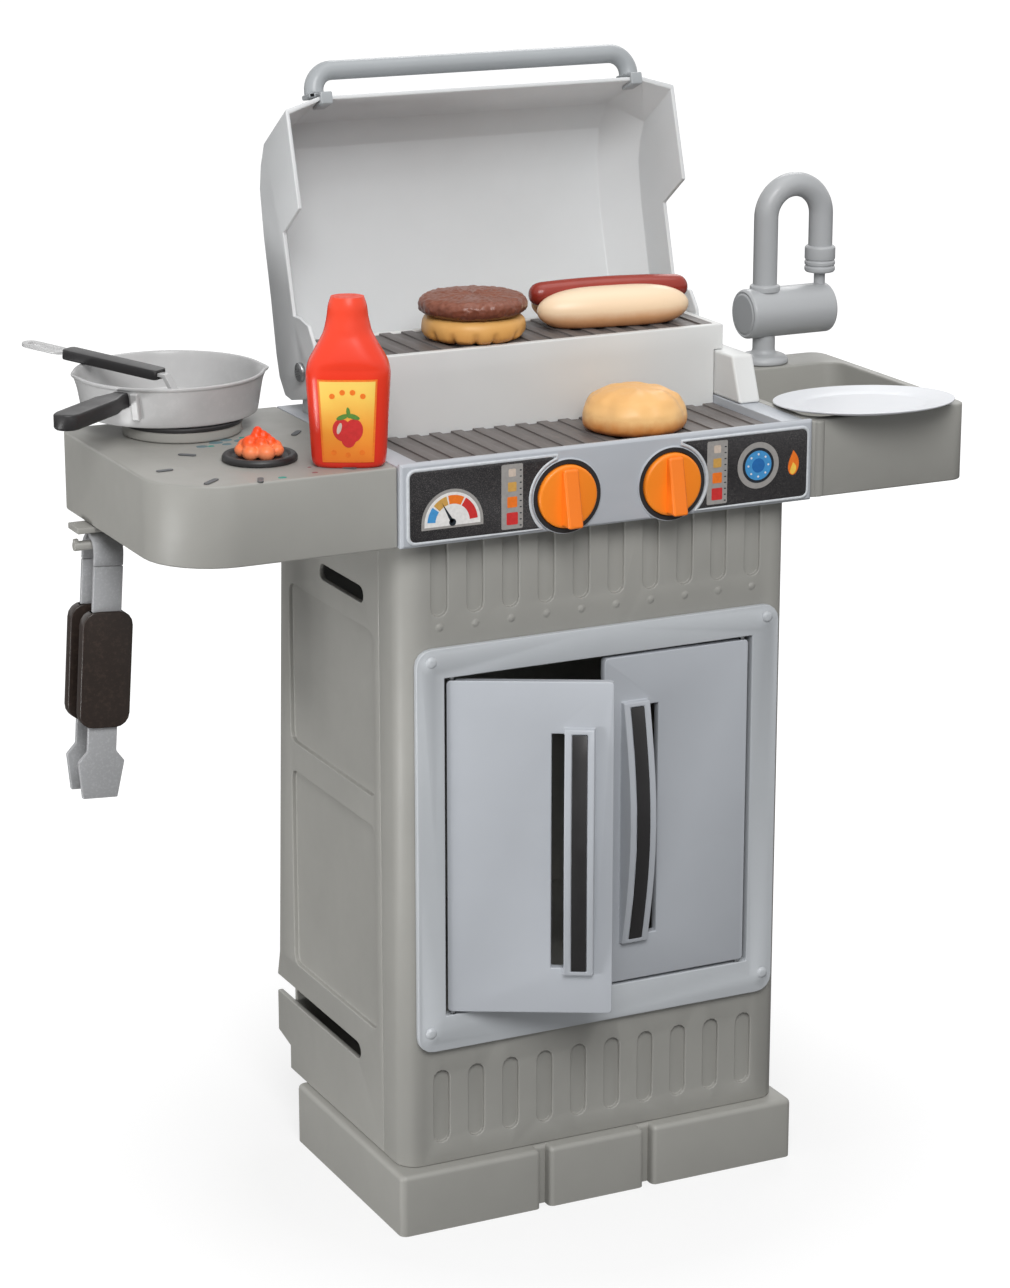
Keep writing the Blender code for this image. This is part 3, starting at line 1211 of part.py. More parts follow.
def make_flame_piece():
    low = ON_COUNTER + BURNER_HEIGHT - BURNER_DISH + GAP
    h = FLAME_HEIGHT
    r = FLAME_RADIUS

    def shaped(name, shares, place, steps):
        profile = [(r * across, low + h * up) for across, up in shares]
        return turned(name, profile, (*place, 0), "Z", steps)

    flame = shaped("flame_piece", FLAME_BASE_SHARES, (BURNER_X, BURNER_Y), 20)
    tips = [shaped("tall_tip", FLAME_TALL_TIP_SHARES, (BURNER_X, BURNER_Y), 8)]
    reach = r * FLAME_TIP_REACH_SHARE
    for i in range(FLAME_TIPS):
        angle = math.tau * i / FLAME_TIPS
        place = (BURNER_X + reach * math.cos(angle), BURNER_Y + reach * math.sin(angle))
        tips.append(shaped("tip", FLAME_TIP_SHARES, place, 8))
    return fuse(flame, *tips)


def make_burner_ring():
    low = ON_COUNTER
    outer = RING_RADIUS
    inner = RING_RADIUS - RING_WIDTH
    profile = [(outer, low), (outer, RING_TOP), (inner, RING_TOP), (inner, low)]
    return turned("burner_ring", profile, (RING_X, RING_Y, 0), "Z", 32)


# Pan and spatula

def make_pan():
    low = PAN_BOTTOM
    rim = PAN_RIM
    w = PAN_WALL
    profile = [
        (0, low), (PAN_BASE_RADIUS - w, low), (PAN_BASE_RADIUS, low + w), (PAN_RIM_RADIUS, rim),
        (PAN_RIM_RADIUS - w, rim), (PAN_BASE_RADIUS - w, low + 2 * w),
        (PAN_BASE_RADIUS - 2 * w, low + w), (0, low + w),
    ]
    return turned("pan", profile, (RING_X, PAN_Y, 0), "Z", 40)


def make_pan_handle():
    """Modelled along +X from the pan's centre, then turned to its place."""
    start = PAN_BASE_RADIUS
    end = PAN_RIM_RADIUS + PAN_HANDLE_LENGTH
    neck = PAN_HANDLE_NECK
    top = PAN_RIM - PAN_HANDLE_BELOW_RIM + PAN_HANDLE_THICKNESS / 2
    half = PAN_HANDLE_WIDTH / 2
    slim = half * PAN_NECK_SHARE
    wide = start + 2 * neck
    outline = [(start, -slim), (start + neck, -slim), (wide, -half), (end - half, -half)]
    outline += arc((end - half, 0), half, -60, 60, 4)
    outline += [(end - half, half), (wide, half), (start + neck, slim), (start, slim)]
    handle = prism("pan_handle", outline, "Z", (top - PAN_HANDLE_THICKNESS, top))
    wall = [
        (0, PAN_BOTTOM), (PAN_BASE_RADIUS + GAP, PAN_BOTTOM),
        (PAN_BASE_RADIUS + GAP, PAN_BOTTOM + PAN_WALL),
        (PAN_RIM_RADIUS + GAP, PAN_RIM), (0, PAN_RIM),
    ]
    cut(handle, turned("pan_wall", wall, (0, 0, 0), "Z", 40))
    turn_shape(handle, PAN_HANDLE_TURN, "Z", (0, 0, 0))
    handle.data.transform(Matrix.Translation((RING_X, PAN_Y, 0)))
    return handle


def spatula_place():
    """From a frame along the handle, with z = 0 at the line of the handle, to the pan."""
    start = SPATULA_AT_RIM - SPATULA_RISE_SHARE * SPATULA_TO_RIM
    return (
        Matrix.Translation((SPATULA_X, SPATULA_Y, start))
        @ Matrix.Rotation(SPATULA_TURN, 4, "Z")
        @ Matrix.Rotation(-math.atan(SPATULA_RISE_SHARE), 4, "Y")
    )


def make_spatula_blade():
    t = BLADE_THICKNESS
    floor = PAN_BOTTOM + PAN_WALL + 2 * GAP + BLADE_THICKNESS
    start = SPATULA_AT_RIM - SPATULA_RISE_SHARE * SPATULA_TO_RIM
    drop = floor - start
    ramp = BLADE_RAMP
    end = -ramp - BLADE_LENGTH
    lift = SPATULA_RISE_SHARE * BLADE_LENGTH
    bottom = drop - t / 2 + SPATULA_RISE_SHARE * ramp
    plate = [(end, bottom + lift), (-ramp, bottom), (-ramp, bottom + t), (end, bottom + lift + t)]
    half = BLADE_WIDTH / 2
    blade = prism("spatula_blade", plate, "Y", (-half, half))
    shank = [
        (-ramp - t, bottom + lift * t / BLADE_LENGTH + GAP), (-ramp + t, bottom),
        (0, -TANG_THICKNESS / 2), (TANG_END, -TANG_THICKNESS / 2),
        (TANG_END, TANG_THICKNESS / 2), (-t, TANG_THICKNESS / 2),
        (-ramp - t, bottom + t),
    ]
    half = TANG_WIDTH / 2
    loop_x = (TANG_END - LOOP_WALL, TANG_END + LOOP_LENGTH)
    loop_y = (-LOOP_WIDTH / 2, LOOP_WIDTH / 2)
    r = LOOP_WIDTH / 2 - GAP
    z = (-TANG_THICKNESS / 2, TANG_THICKNESS / 2)
    loop = prism("loop", rounded(loop_x, loop_y, (r, r, r, r)), "Z", z)
    w = LOOP_WALL
    r = LOOP_WIDTH / 2 - w - GAP
    hole_x = (loop_x[0] + w, loop_x[1] - w)
    hole_y = (loop_y[0] + w, loop_y[1] - w)
    through = (z[0] - OVERRUN, z[1] + OVERRUN)
    hole = prism("hole", rounded(hole_x, hole_y, (r, r, r, r), 3), "Z", through)
    cut(loop, hole)
    fuse(blade, prism("shank", shank, "Y", (-half, half)), loop)
    blade.data.transform(spatula_place())
    return blade


def make_spatula_grip():
    half = SPATULA_GRIP_WIDTH / 2
    t = SPATULA_GRIP_THICKNESS / 2
    x = SPATULA_GRIP
    r = half / 2
    grip = prism("spatula_grip", rounded(x, (-half, half), (r, r, r, r), 3), "Z", (-t, t))
    a = TANG_WIDTH / 2 + GAP
    b = TANG_THICKNESS / 2 + GAP
    cut(grip, box("channel", (x[0] - OVERRUN, x[1] + OVERRUN), (-a, a), (-b, b)))
    grip.data.transform(spatula_place())
    return grip


# Tongs

def make_tongs_hanger():
    x = HANGER_X
    half = HANGER_WIDTH / 2
    y = (TONGS_Y - half, TONGS_Y + half)
    top = COUNTER_BOTTOM - GAP
    hanger = box("tongs_hanger", x, y, (top - HANGER_PLATE, top))
    low = HANGER_BAR_Z - HANGER_BAR_RADIUS - GAP
    post = box("post", (x[1] - HANGER_POST, x[1]), y, (low, top - HANGER_PLATE / 2))
    span = (x[0], x[1] - HANGER_POST / 2)
    bar = rod("bar", HANGER_BAR_RADIUS, (0, TONGS_Y, HANGER_BAR_Z), "X", span, 16)
    lip_z = (HANGER_BAR_Z, HANGER_BAR_Z + HANGER_LIP)
    r = HANGER_BAR_RADIUS
    lip = box("lip", (x[0], x[0] + r), (TONGS_Y - r / 2, TONGS_Y + r / 2), lip_z)
    return fuse(hanger, post, bar, lip)


def tongs_x(width):
    return (TONGS_X - width / 2, TONGS_X + width / 2)


def lean(obj):
    return turn_shape(obj, TONGS_LEAN, "Y", (TONGS_X, TONGS_Y, HANGER_BAR_Z))


def arm_pivot(side):
    """The middle of an arm's hinge, on the leaning tongs."""
    drop = ARM_PIVOT_Z - HANGER_BAR_Z
    x = TONGS_X + drop * math.sin(TONGS_LEAN)
    return (x, TONGS_Y + side * TONGS_SPREAD, HANGER_BAR_Z + drop * math.cos(TONGS_LEAN))


def make_tongs_bow():
    outer = TONGS_SPREAD + TONGS_THICKNESS / 2
    inner = TONGS_SPREAD - TONGS_THICKNESS / 2
    centre = (TONGS_Y, BOW_CENTRE_Z)
    low = ARM_PIVOT_Z + ARM_PIVOT_LUG + GAP
    outline = [(TONGS_Y + outer, low)] + arc(centre, outer, 0, 180, BOW_STEPS)
    outline += [(TONGS_Y - outer, low), (TONGS_Y - inner, low)]
    outline += arc(centre, inner, 180, 0, BOW_STEPS) + [(TONGS_Y + inner, low)]
    return lean(prism("tongs_bow", outline, "X", tongs_x(TONGS_WIDTH)))


def make_tongs_arm(name, side):
    """An arm as an outline in x and z, from its pivot down to the spade tip."""
    half = TONGS_WIDTH / 2
    shoulder = ARM_SHOULDER_WIDTH / 2
    tip = ARM_TIP_WIDTH / 2
    top = ARM_PIVOT_Z + ARM_PIVOT_LUG
    end = ARM_PIVOT_Z - ARM_LENGTH
    right = [
        (half, top), (half, end + ARM_SPADE), (tip, end + ARM_SPADE_WIDEST), (shoulder, end),
    ]
    outline = right + [(-a, z) for a, z in reversed(right)]
    middle = TONGS_Y + side * TONGS_SPREAD
    y = (middle - TONGS_THICKNESS / 2, middle + TONGS_THICKNESS / 2)
    return lean(prism(name, [(TONGS_X + a, z) for a, z in outline], "Y", y))


def make_tongs_sleeve(name, side):
    top = ARM_PIVOT_Z - SLEEVE_TOP_DROP
    low = ARM_PIVOT_Z - ARM_LENGTH + ARM_SPADE + SLEEVE_ABOVE_SPADE
    r = SLEEVE_RADIUS
    middle = TONGS_Y + side * TONGS_SPREAD
    thick = TONGS_THICKNESS / 2
    outside = middle + side * (thick + SLEEVE_OUTSIDE)
    reach = sorted((outside, middle - side * (thick + SLEEVE_INSIDE)))
    sleeve = prism(name, rounded(tongs_x(SLEEVE_WIDTH), (low, top), (r, r, r, r)), "Y", reach)
    channel_x = tongs_x(TONGS_WIDTH + 2 * GAP)
    channel_y = (middle - thick - GAP, middle + thick + GAP)
    cut(sleeve, box("channel", channel_x, channel_y, (low - OVERRUN, top + OVERRUN)))
    return lean(sleeve)


# Bottle, food and plate

def make_bottle():
    profile = [(BOTTLE_HALF_WIDTH * a, BOTTLE_HEIGHT * b) for a, b in BOTTLE_SHARES]
    bottle = turned("bottle", profile, (0, 0, 0), "Z", 28)
    turn = Matrix.Rotation(BOTTLE_TURN, 4, "Z") @ Matrix.Diagonal((1, BOTTLE_DEPTH_SHARE, 1, 1))
    bottle.data.transform(Matrix.Translation((BOTTLE_X, BOTTLE_Y, ON_COUNTER)) @ turn)
    return bottle


def disc_food(name, shares, radius, height, x, y, low, steps=28):
    return turned(name, [(radius * a, low + height * b) for a, b in shares], (x, y, 0), "Z", steps)


def bun_base_bottom():
    return HOUSING_TOP + GAP


def patty_bottom():
    return bun_base_bottom() + BUN_BASE_HEIGHT + GAP


def place_hot_dog(obj):
    turn = Matrix.Rotation(HOT_DOG_TURN, 4, "Z")
    obj.data.transform(Matrix.Translation((HOT_DOG_X, HOT_DOG_Y, bun_base_bottom())) @ turn)
    return obj


def make_hot_dog_bun():
    stations = [(share - 0.5, size) for share, size in HOT_DOG_END_SHARES]
    stations += [(-place, size) for place, size in reversed(stations)]
    half = HOT_DOG_DEPTH / 2
    sections = []
    for place, size in stations:
        low = HOT_DOG_HEIGHT * (1 - size) / 2
        sections.append([
            (HOT_DOG_LENGTH * place, half * size * a, low + HOT_DOG_HEIGHT * size * b)
            for a, b in HOT_DOG_SECTION_SHARES
        ])
    bun = loft("hot_dog_bun", sections)
    span = (-SAUSAGE_LENGTH / 2 - OVERRUN, SAUSAGE_LENGTH / 2 + OVERRUN)
    groove = rod("groove", SAUSAGE_RADIUS + GAP, (0, SAUSAGE_SHIFT, SAUSAGE_RISE), "X", span, 16)
    return place_hot_dog(cut(bun, groove))


def make_sausage():
    r = SAUSAGE_RADIUS
    half = SAUSAGE_LENGTH / 2
    ends = [(y, x) for x, y in arc((-half + r, 0), r, 180, 90, 4)]
    profile = [(max(radius, 0), along) for radius, along in ends]
    profile += [(radius, -along) for radius, along in reversed(profile)]
    profile[0] = (0, -half)
    profile[-1] = (0, half)
    return place_hot_dog(turned("sausage", profile, (0, SAUSAGE_SHIFT, SAUSAGE_RISE), "X", 16))


def make_plate():
    t = PLATE_THICKNESS
    profile = [
        (0, 0), (PLATE_FOOT_RADIUS, 0), (PLATE_RADIUS, PLATE_HEIGHT - t),
        (PLATE_RADIUS, PLATE_HEIGHT), (PLATE_FOOT_RADIUS, t), (0, t),
    ]
    plate = turned("plate", profile, (0, 0, 0), "Z", 40)
    rim_y = COUNTER_FRONT + BASIN_INSET_FRONT
    low = ON_COUNTER + math.tan(PLATE_TILT) * (PLATE_Y - rim_y)
    tilt = Matrix.Rotation(PLATE_TILT, 4, "X")
    plate.data.transform(Matrix.Translation((PLATE_X, PLATE_Y, low)) @ tilt)
    return plate


# Assembly

def empty(name, place, parent=None):
    """An empty at a place of the cabinet's own frame, which may hang under another one."""
    made = bpy.data.objects.new(name, None)
    bpy.context.scene.collection.objects.link(made)
    made["place"] = place
    made.location = place
    if parent:
        made.location = Vector(place) - Vector(parent["place"])
        made.parent = parent
    return made


def attach(obj, parent, finish):
    """Gives a shape its plastic and hangs it under an empty, with its origin on that empty."""
    obj.data.transform(Matrix.Translation(-Vector(parent["place"])))
    obj.data.materials.clear()
    obj.data.materials.append(finish)
    obj.parent = parent
    return obj


def main():
    for obj in list(bpy.data.objects):
        bpy.data.objects.remove(obj)
    plastics = all_materials()
    middle = PLINTH_DEPTH / 2 - PLINTH_OVERHANG
    root = empty("grill_on_floor", (0, 0, 0))

    def fix(obj, finish, parent=root):
        return attach(obj, parent, plastics[finish])

    fix(make_plinth(), "warm_grey")
    fix(make_cabinet_front(), "warm_grey")
    side = make_side_panel()
    fix(mirrored(side, "side_panel_right"), "warm_grey")
    fix(side, "warm_grey")
    fix(make_back_panel(), "warm_grey")
    fix(make_cabinet_floor(), "warm_grey")
    fix(make_door_frame(), "blue_grey")

    left_axis = empty("left_door_axis", (-DOOR_AXIS_X, DOOR_AXIS_Y, 0), root)
    right_axis = empty("right_door_axis", (DOOR_AXIS_X, DOOR_AXIS_Y, 0), root)
    door = make_left_door()
    inlay = make_left_inlay()
    fix(mirrored(door, "door_right"), "blue_grey", right_axis)
    fix(mirrored(inlay, "grip_inlay_right"), "black", right_axis)
    fix(door, "blue_grey", left_axis)
    fix(inlay, "black", left_axis)
    left_axis.rotation_euler.z = -LEFT_DOOR_OPEN
    for word, direction in (("left", -1), ("right", 1)):
        fix(make_door_pin("door_pin_" + word + "_top", direction, True), "steel")
        fix(make_door_pin("door_pin_" + word + "_bottom", direction, False), "steel")

    fix(make_left_worktop(), "warm_grey")
    fix(make_right_worktop(), "warm_grey")
    fix(make_grill_deck(), "blue_grey")
    wall = make_firebox_wall()
    fix(mirrored(wall, "firebox_wall_right"), "blue_grey")
    fix(wall, "blue_grey")
    fix(make_lower_grate(), "grate_brown")
    fix(make_grate_housing(), "pale_grey")
    fix(make_upper_grate(), "grate_brown")

    fix(make_control_panel(), "blue_grey")
    fix(make_label("label_plate_left", LEFT_LABEL_X, KNOB_X[0]), "black")
    fix(make_label("label_plate_right", RIGHT_LABEL_X, KNOB_X[1]), "black")
    for word, x in zip(("left", "right"), KNOB_X):
        axis = empty("knob_axis_" + word, (x, knob_back(), KNOB_Z), root)
        fix(make_knob("knob_" + word, x), "orange", axis)
        fix(make_knob_screw("knob_screw_" + word, x), "steel", axis)

    lid_axis = empty("lid_hinge_axis", (0, LID_HINGE_Y, LID_HINGE_Z), root)
    fix(make_lid(), "pale_grey", lid_axis)
    fix(make_lid_handle(), "pale_grey", lid_axis)
    lid_axis.rotation_euler.x = -LID_OPEN
    pin = make_hinge_pin("lid_hinge_pin_left")
    fix(mirrored(pin, "lid_hinge_pin_right"), "steel")
    fix(pin, "steel")

    fix(make_faucet_base(), "silver")
    swivel = empty("faucet_swivel", (FAUCET_X, FAUCET_Y, STEM_TOP), root)
    for piece in (make_mixer_barrel(), make_spout(), make_spray_collar(), make_spout_rod()):
        fix(piece, "silver", swivel)

    fix(make_burner_disc(), "black")
    fix(make_flame_piece(), "orange")
    fix(make_burner_ring(), "black")

    pan_seat = empty("pan_seat", (RING_X, PAN_Y, PAN_BOTTOM), root)
    fix(make_pan(), "silver", pan_seat)
    fix(make_pan_handle(), "black", pan_seat)
    spatula_seat = empty("spatula_seat", (SPATULA_X, SPATULA_Y, PAN_RIM), pan_seat)
    fix(make_spatula_blade(), "pale_grey", spatula_seat)
    fix(make_spatula_grip(), "black", spatula_seat)

    fix(make_tongs_hanger(), "warm_grey")
    bar = empty("tongs_bar_axis", (TONGS_X, TONGS_Y, HANGER_BAR_Z), root)
    fix(make_tongs_bow(), "silver", bar)
    for word, direction in (("front", -1), ("rear", 1)):
        pivot = empty("tongs_pivot_" + word, arm_pivot(direction), bar)
        fix(make_tongs_arm("tongs_arm_" + word, direction), "silver", pivot)
        fix(make_tongs_sleeve("tongs_sleeve_" + word, direction), "black", pivot)

    bottle_seat = empty("bottle_seat", (BOTTLE_X, BOTTLE_Y, ON_COUNTER), root)
    fix(make_bottle(), "bottle_red", bottle_seat)
    burger_seat = empty("burger_seat", (BUN_BASE_X, BURGER_Y, bun_base_bottom()), root)
    burger = (BUN_BASE_X, BURGER_Y)
    base = disc_food(
        "bun_base", BUN_BASE_SHARES, BUN_BASE_RADIUS, BUN_BASE_HEIGHT, *burger, bun_base_bottom(),
    )
    fix(base, "bun_toast", burger_seat)
    patty_seat = empty("patty_seat", (BUN_BASE_X, BURGER_Y, patty_bottom()), burger_seat)
    patty = disc_food("patty", PATTY_SHARES, PATTY_RADIUS, PATTY_HEIGHT, *burger, patty_bottom())
    fix(patty, "meat", patty_seat)
    hot_dog_place = (HOT_DOG_X, HOT_DOG_Y, bun_base_bottom())
    hot_dog_seat = empty("hot_dog_seat", hot_dog_place, root)
    fix(make_hot_dog_bun(), "bun_cream", hot_dog_seat)
    sausage_seat = empty("sausage_seat", hot_dog_place, hot_dog_seat)
    fix(make_sausage(), "sausage_red", sausage_seat)
    top_bun_seat = empty("top_bun_seat", (TOP_BUN_X, TOP_BUN_Y, LOWER_GRATE_TOP + GAP), root)
    top_place = (TOP_BUN_X, TOP_BUN_Y, LOWER_GRATE_TOP + GAP)
    top = disc_food("top_bun", TOP_BUN_SHARES, TOP_BUN_RADIUS, TOP_BUN_HEIGHT, *top_place)
    fix(top, "bun_toast", top_bun_seat)
    plate_seat = empty("plate_seat", (PLATE_X, PLATE_Y, ON_COUNTER), root)
    fix(make_plate(), "white", plate_seat)

    root.location = (0, -middle, 0)


main()
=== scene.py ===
"""The finished look of the toy barbecue grill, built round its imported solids.

Lengths and places are in millimetres, measured from the middle of the cabinet, from its front face and
from the floor, and at() turns a place into metres in the world. The camera, the floor and the lamps are
given in metres of the world.
"""

import json
import math

import bmesh
import bpy
from mathutils import Matrix, Vector, noise


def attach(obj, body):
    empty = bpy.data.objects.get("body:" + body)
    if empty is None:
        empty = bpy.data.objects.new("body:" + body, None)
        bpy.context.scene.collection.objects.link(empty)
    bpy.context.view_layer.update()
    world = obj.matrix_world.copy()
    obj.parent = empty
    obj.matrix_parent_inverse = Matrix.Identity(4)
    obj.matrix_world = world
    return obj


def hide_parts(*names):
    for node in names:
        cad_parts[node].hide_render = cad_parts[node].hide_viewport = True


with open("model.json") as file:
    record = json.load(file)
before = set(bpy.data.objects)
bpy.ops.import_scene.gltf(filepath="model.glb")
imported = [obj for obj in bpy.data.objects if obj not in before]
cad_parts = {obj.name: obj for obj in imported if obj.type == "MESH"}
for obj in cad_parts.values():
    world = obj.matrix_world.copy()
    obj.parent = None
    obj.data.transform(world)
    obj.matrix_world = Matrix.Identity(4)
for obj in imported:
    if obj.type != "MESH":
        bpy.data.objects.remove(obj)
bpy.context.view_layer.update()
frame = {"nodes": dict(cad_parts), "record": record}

MM = 0.001
CABINET_FACE = -99 * MM


def at(x, y, z):
    return Vector((x * MM, y * MM + CABINET_FACE, z * MM))


def placing(place, turn, axis="Z"):
    """Turns a shape by degrees about an axis and takes it to a place."""
    return Matrix.Translation(at(*place)) @ Matrix.Rotation(math.radians(turn), 4, axis)


def shown(name, data):
    """A new object in the scene."""
    thing = bpy.data.objects.new(name, data)
    bpy.context.scene.collection.objects.link(thing)
    return thing


def frozen(name, bm):
    """The bmesh as a mesh."""
    mesh = bpy.data.meshes.new(name)
    bm.to_mesh(mesh)
    bm.free()
    return mesh


# Camera

LOOKS_DOWN = 16.22
HEADING = -26.1

camera = shown("camera", bpy.data.cameras.new("camera"))
camera.location = (-1.3058, -2.5898, 1.3068)
camera.rotation_euler = (math.radians(90 - LOOKS_DOWN), 0, math.radians(HEADING))
camera.data.sensor_fit = "VERTICAL"
camera.data.sensor_height = 36
camera.data.lens = 99.63
camera.data.clip_end = 100
bpy.context.scene.camera = camera


# Plastics

def paint(colour, factor=1):
    """A paint chart's colour, 0 to 255, in the linear values that shaders take, times a factor."""
    channels = []
    for value in colour:
        value = value / 255
        linear = value / 12.92 if value <= 0.04045 else ((value + 0.055) / 1.055) ** 2.4
        channels.append(min(linear * factor, 1.0))
    return (*channels, 1.0)


finishes = {}


class Nodes:
    """A short way to write a finish as a material's node tree."""

    def __init__(self, name):
        finishes[name] = bpy.data.materials.new(name)
        finishes[name].use_nodes = True
        self.tree = finishes[name].node_tree
        self.shader = self.tree.nodes["Principled BSDF"]
        self.place = self.add("ShaderNodeTexCoord").outputs["Object"]

    def add(self, kind, **settings):
        node = self.tree.nodes.new(kind)
        for key, value in settings.items():
            setattr(node, key, value)
        return node

    def join(self, output, socket):
        self.tree.links.new(output, socket)

    def set(self, **values):
        """Gives the shader values, or what other nodes put out."""
        for key, value in values.items():
            socket = self.shader.inputs[key.replace("_", " ")]
            if isinstance(value, bpy.types.NodeSocket):
                self.join(value, socket)
            else:
                socket.default_value = value

    def noise(self, scale, detail=2.0, roughness=0.5, stretch=(1, 1, 1)):
        texture = self.add("ShaderNodeTexNoise")
        texture.inputs["Scale"].default_value = scale
        texture.inputs["Detail"].default_value = detail
        texture.inputs["Roughness"].default_value = roughness
        mapping = self.add("ShaderNodeMapping")
        mapping.inputs["Scale"].default_value = stretch
        self.join(self.place, mapping.inputs["Vector"])
        self.join(mapping.outputs["Vector"], texture.inputs["Vector"])
        return texture.outputs["Fac"]

    def height(self, low, high):
        """0 at the low height above the floor and 1 at the high one."""
        split = self.add("ShaderNodeSeparateXYZ")
        self.join(self.place, split.inputs["Vector"])
        return self.span(split.outputs["Z"], 0, 1, low * MM, high * MM)

    def ramp(self, value, stops):
        ramp = self.add("ShaderNodeValToRGB")
        elements = ramp.color_ramp.elements
        while len(elements) < len(stops):
            elements.new(0.5)
        for element, (position, colour) in zip(elements, stops):
            element.position = position
            element.color = colour
        self.join(value, ramp.inputs["Fac"])
        return ramp.outputs["Color"]

    def mottled(self, cloud, colour, spread):
        """The colour, darker and lighter by a share as the noise goes down and up."""
        return self.ramp(cloud, ((0.3, paint(colour, 1 - spread)), (0.7, paint(colour, 1 + spread))))

    def span(self, value, low, high, from_low=0.3, from_high=0.7):
        """A value brought from one range, by default that of noise, to another."""
        span = self.add("ShaderNodeMapRange")
        span.inputs["From Min"].default_value = from_low
        span.inputs["From Max"].default_value = from_high
        span.inputs["To Min"].default_value = low
        span.inputs["To Max"].default_value = high
        self.join(value, span.inputs["Value"])
        return span.outputs["Result"]

    def sum(self, first, second, share):
        """The first value plus a share of the second one's distance from its middle."""
        centred = self.add("ShaderNodeMath", operation="MULTIPLY_ADD")
        self.join(second, centred.inputs[0])
        centred.inputs[1].default_value = share
        centred.inputs[2].default_value = -share / 2
        total = self.add("ShaderNodeMath", operation="ADD")
        self.join(first, total.inputs[0])
        self.join(centred.outputs[0], total.inputs[1])
        return total.outputs[0]

    def flecked(self, flecks, base, fleck):
        """The base with a second colour where the flecks are."""
        mix = self.add("ShaderNodeMix", data_type="RGBA")
        self.join(flecks, mix.inputs[0])
        self.join(base, mix.inputs[6])
        mix.inputs[7].default_value = fleck
        return mix.outputs[2]

    def bump(self, height, strength, distance, under=None):
        """Relief of a depth, on top of another relief where one is given."""
        bump = self.add("ShaderNodeBump")
        bump.inputs["Strength"].default_value = strength
        bump.inputs["Distance"].default_value = distance * MM
        self.join(height, bump.inputs["Height"])
        if under:
            self.join(under, bump.inputs["Normal"])
        return bump.outputs["Normal"]


def moulded_plastic(name, colour, roughness, mottling=0.03, grain=0.12, shine=0.45):
    """Plastic out of a mould: nearly even, with faint flow marks and a fine pebbled grain."""
    made = Nodes(name)
    flow = made.noise(scale=9.0, detail=4.0, roughness=0.55)
    wear = made.noise(scale=45.0, detail=3.0)
    fine = made.bump(made.noise(scale=900.0), strength=grain, distance=0.25)
    made.set(
        Base_Color=made.mottled(flow, colour, mottling),
        Roughness=made.span(wear, roughness - 0.05, roughness + 0.06),
        Normal=made.bump(made.noise(scale=26.0, detail=1.0), strength=0.05, distance=1.5, under=fine),
        IOR=1.48, Specular_IOR_Level=shine,
    )


moulded_plastic("cabinet_grey", (157, 156, 151), 0.46, mottling=0.05)
moulded_plastic("frame_blue_grey", (181, 185, 191), 0.38)
moulded_plastic("frame_pale_grey", (192, 196, 200), 0.38)
moulded_plastic("housing_pale_grey", (218, 219, 218), 0.4)
moulded_plastic("lid_grey", (214, 216, 217), 0.36)
moulded_plastic("handle_grey", (164, 168, 171), 0.32)
moulded_plastic("faucet_grey", (176, 178, 180), 0.33, grain=0.05)
moulded_plastic("grip_black", (38, 37, 38), 0.42, mottling=0.12)
moulded_plastic("knob_orange", (252, 140, 34), 0.33, grain=0.04)
moulded_plastic("ridge_orange", (250, 128, 30), 0.33, grain=0.04)
moulded_plastic("plate_white", (226, 228, 232), 0.4, mottling=0.01, grain=0.03, shine=0.2)
moulded_plastic("grate_brown_grey", (104, 99, 97), 0.5, mottling=0.14)
moulded_plastic("marking_dark", (92, 94, 96), 0.6, mottling=0.12)
moulded_plastic("marking_teal", (52, 140, 128), 0.45, mottling=0.15)
moulded_plastic("marking_slate", (98, 122, 128), 0.5, mottling=0.2)
moulded_plastic("marking_red", (134, 92, 94), 0.5, mottling=0.2)


def speckled_plastic(name, colour, fleck, amount, scale, roughness):
    """A plastic with fine flecks in it, by an amount."""
    made = Nodes(name)
    flecks = made.span(made.noise(scale, roughness=0.7), 0.0, amount, from_low=0.5)
    cloud = made.span(made.noise(scale=14.0, detail=3.0), 0.0, 1.0)
    base = made.ramp(cloud, ((0.0, paint(colour, 0.9)), (1.0, paint(colour, 1.1))))
    made.set(
        Base_Color=made.flecked(flecks, base, paint(fleck)),
        Normal=made.bump(flecks, strength=0.1, distance=0.1),
        Roughness=roughness, IOR=1.48, Specular_IOR_Level=0.4,
    )


speckled_plastic("label_black", (40, 39, 41), (122, 118, 116), 0.55, scale=1400, roughness=0.34)
speckled_plastic("sleeve_brown_black", (46, 38, 34), (80, 66, 58), 0.3, scale=300, roughness=0.36)
speckled_plastic("tongs_silver", (160, 161, 163), (196, 197, 199), 0.35, scale=500, roughness=0.36)
speckled_plastic("pan_silver", (188, 188, 188), (206, 206, 206), 0.14, scale=160, roughness=0.24)


def printed(name, colour):
    """Ink or foil on a label."""
    made = Nodes(name)
    mottled = made.mottled(made.noise(scale=350.0, detail=3.0), colour, 0.07)
    made.set(Base_Color=mottled, Roughness=0.4, IOR=1.45, Specular_IOR_Level=0.4)


printed("print_white", (232, 230, 228))
# The label rims: paler than the panel, a painted highlight on the raised rims.
printed("rim_painted_highlight", (200, 204, 208))
printed("print_red", (206, 52, 52))
printed("print_orange", (240, 122, 40))
printed("print_ochre", (206, 160, 84))
printed("print_pale", (206, 190, 176))
printed("print_silver", (158, 155, 152))
printed("print_dark", (34, 40, 48))
printed("print_blue", (72, 150, 208))
printed("print_deep_blue", (40, 108, 176))
printed("print_yellow", (250, 204, 84))
printed("print_green", (92, 138, 62))


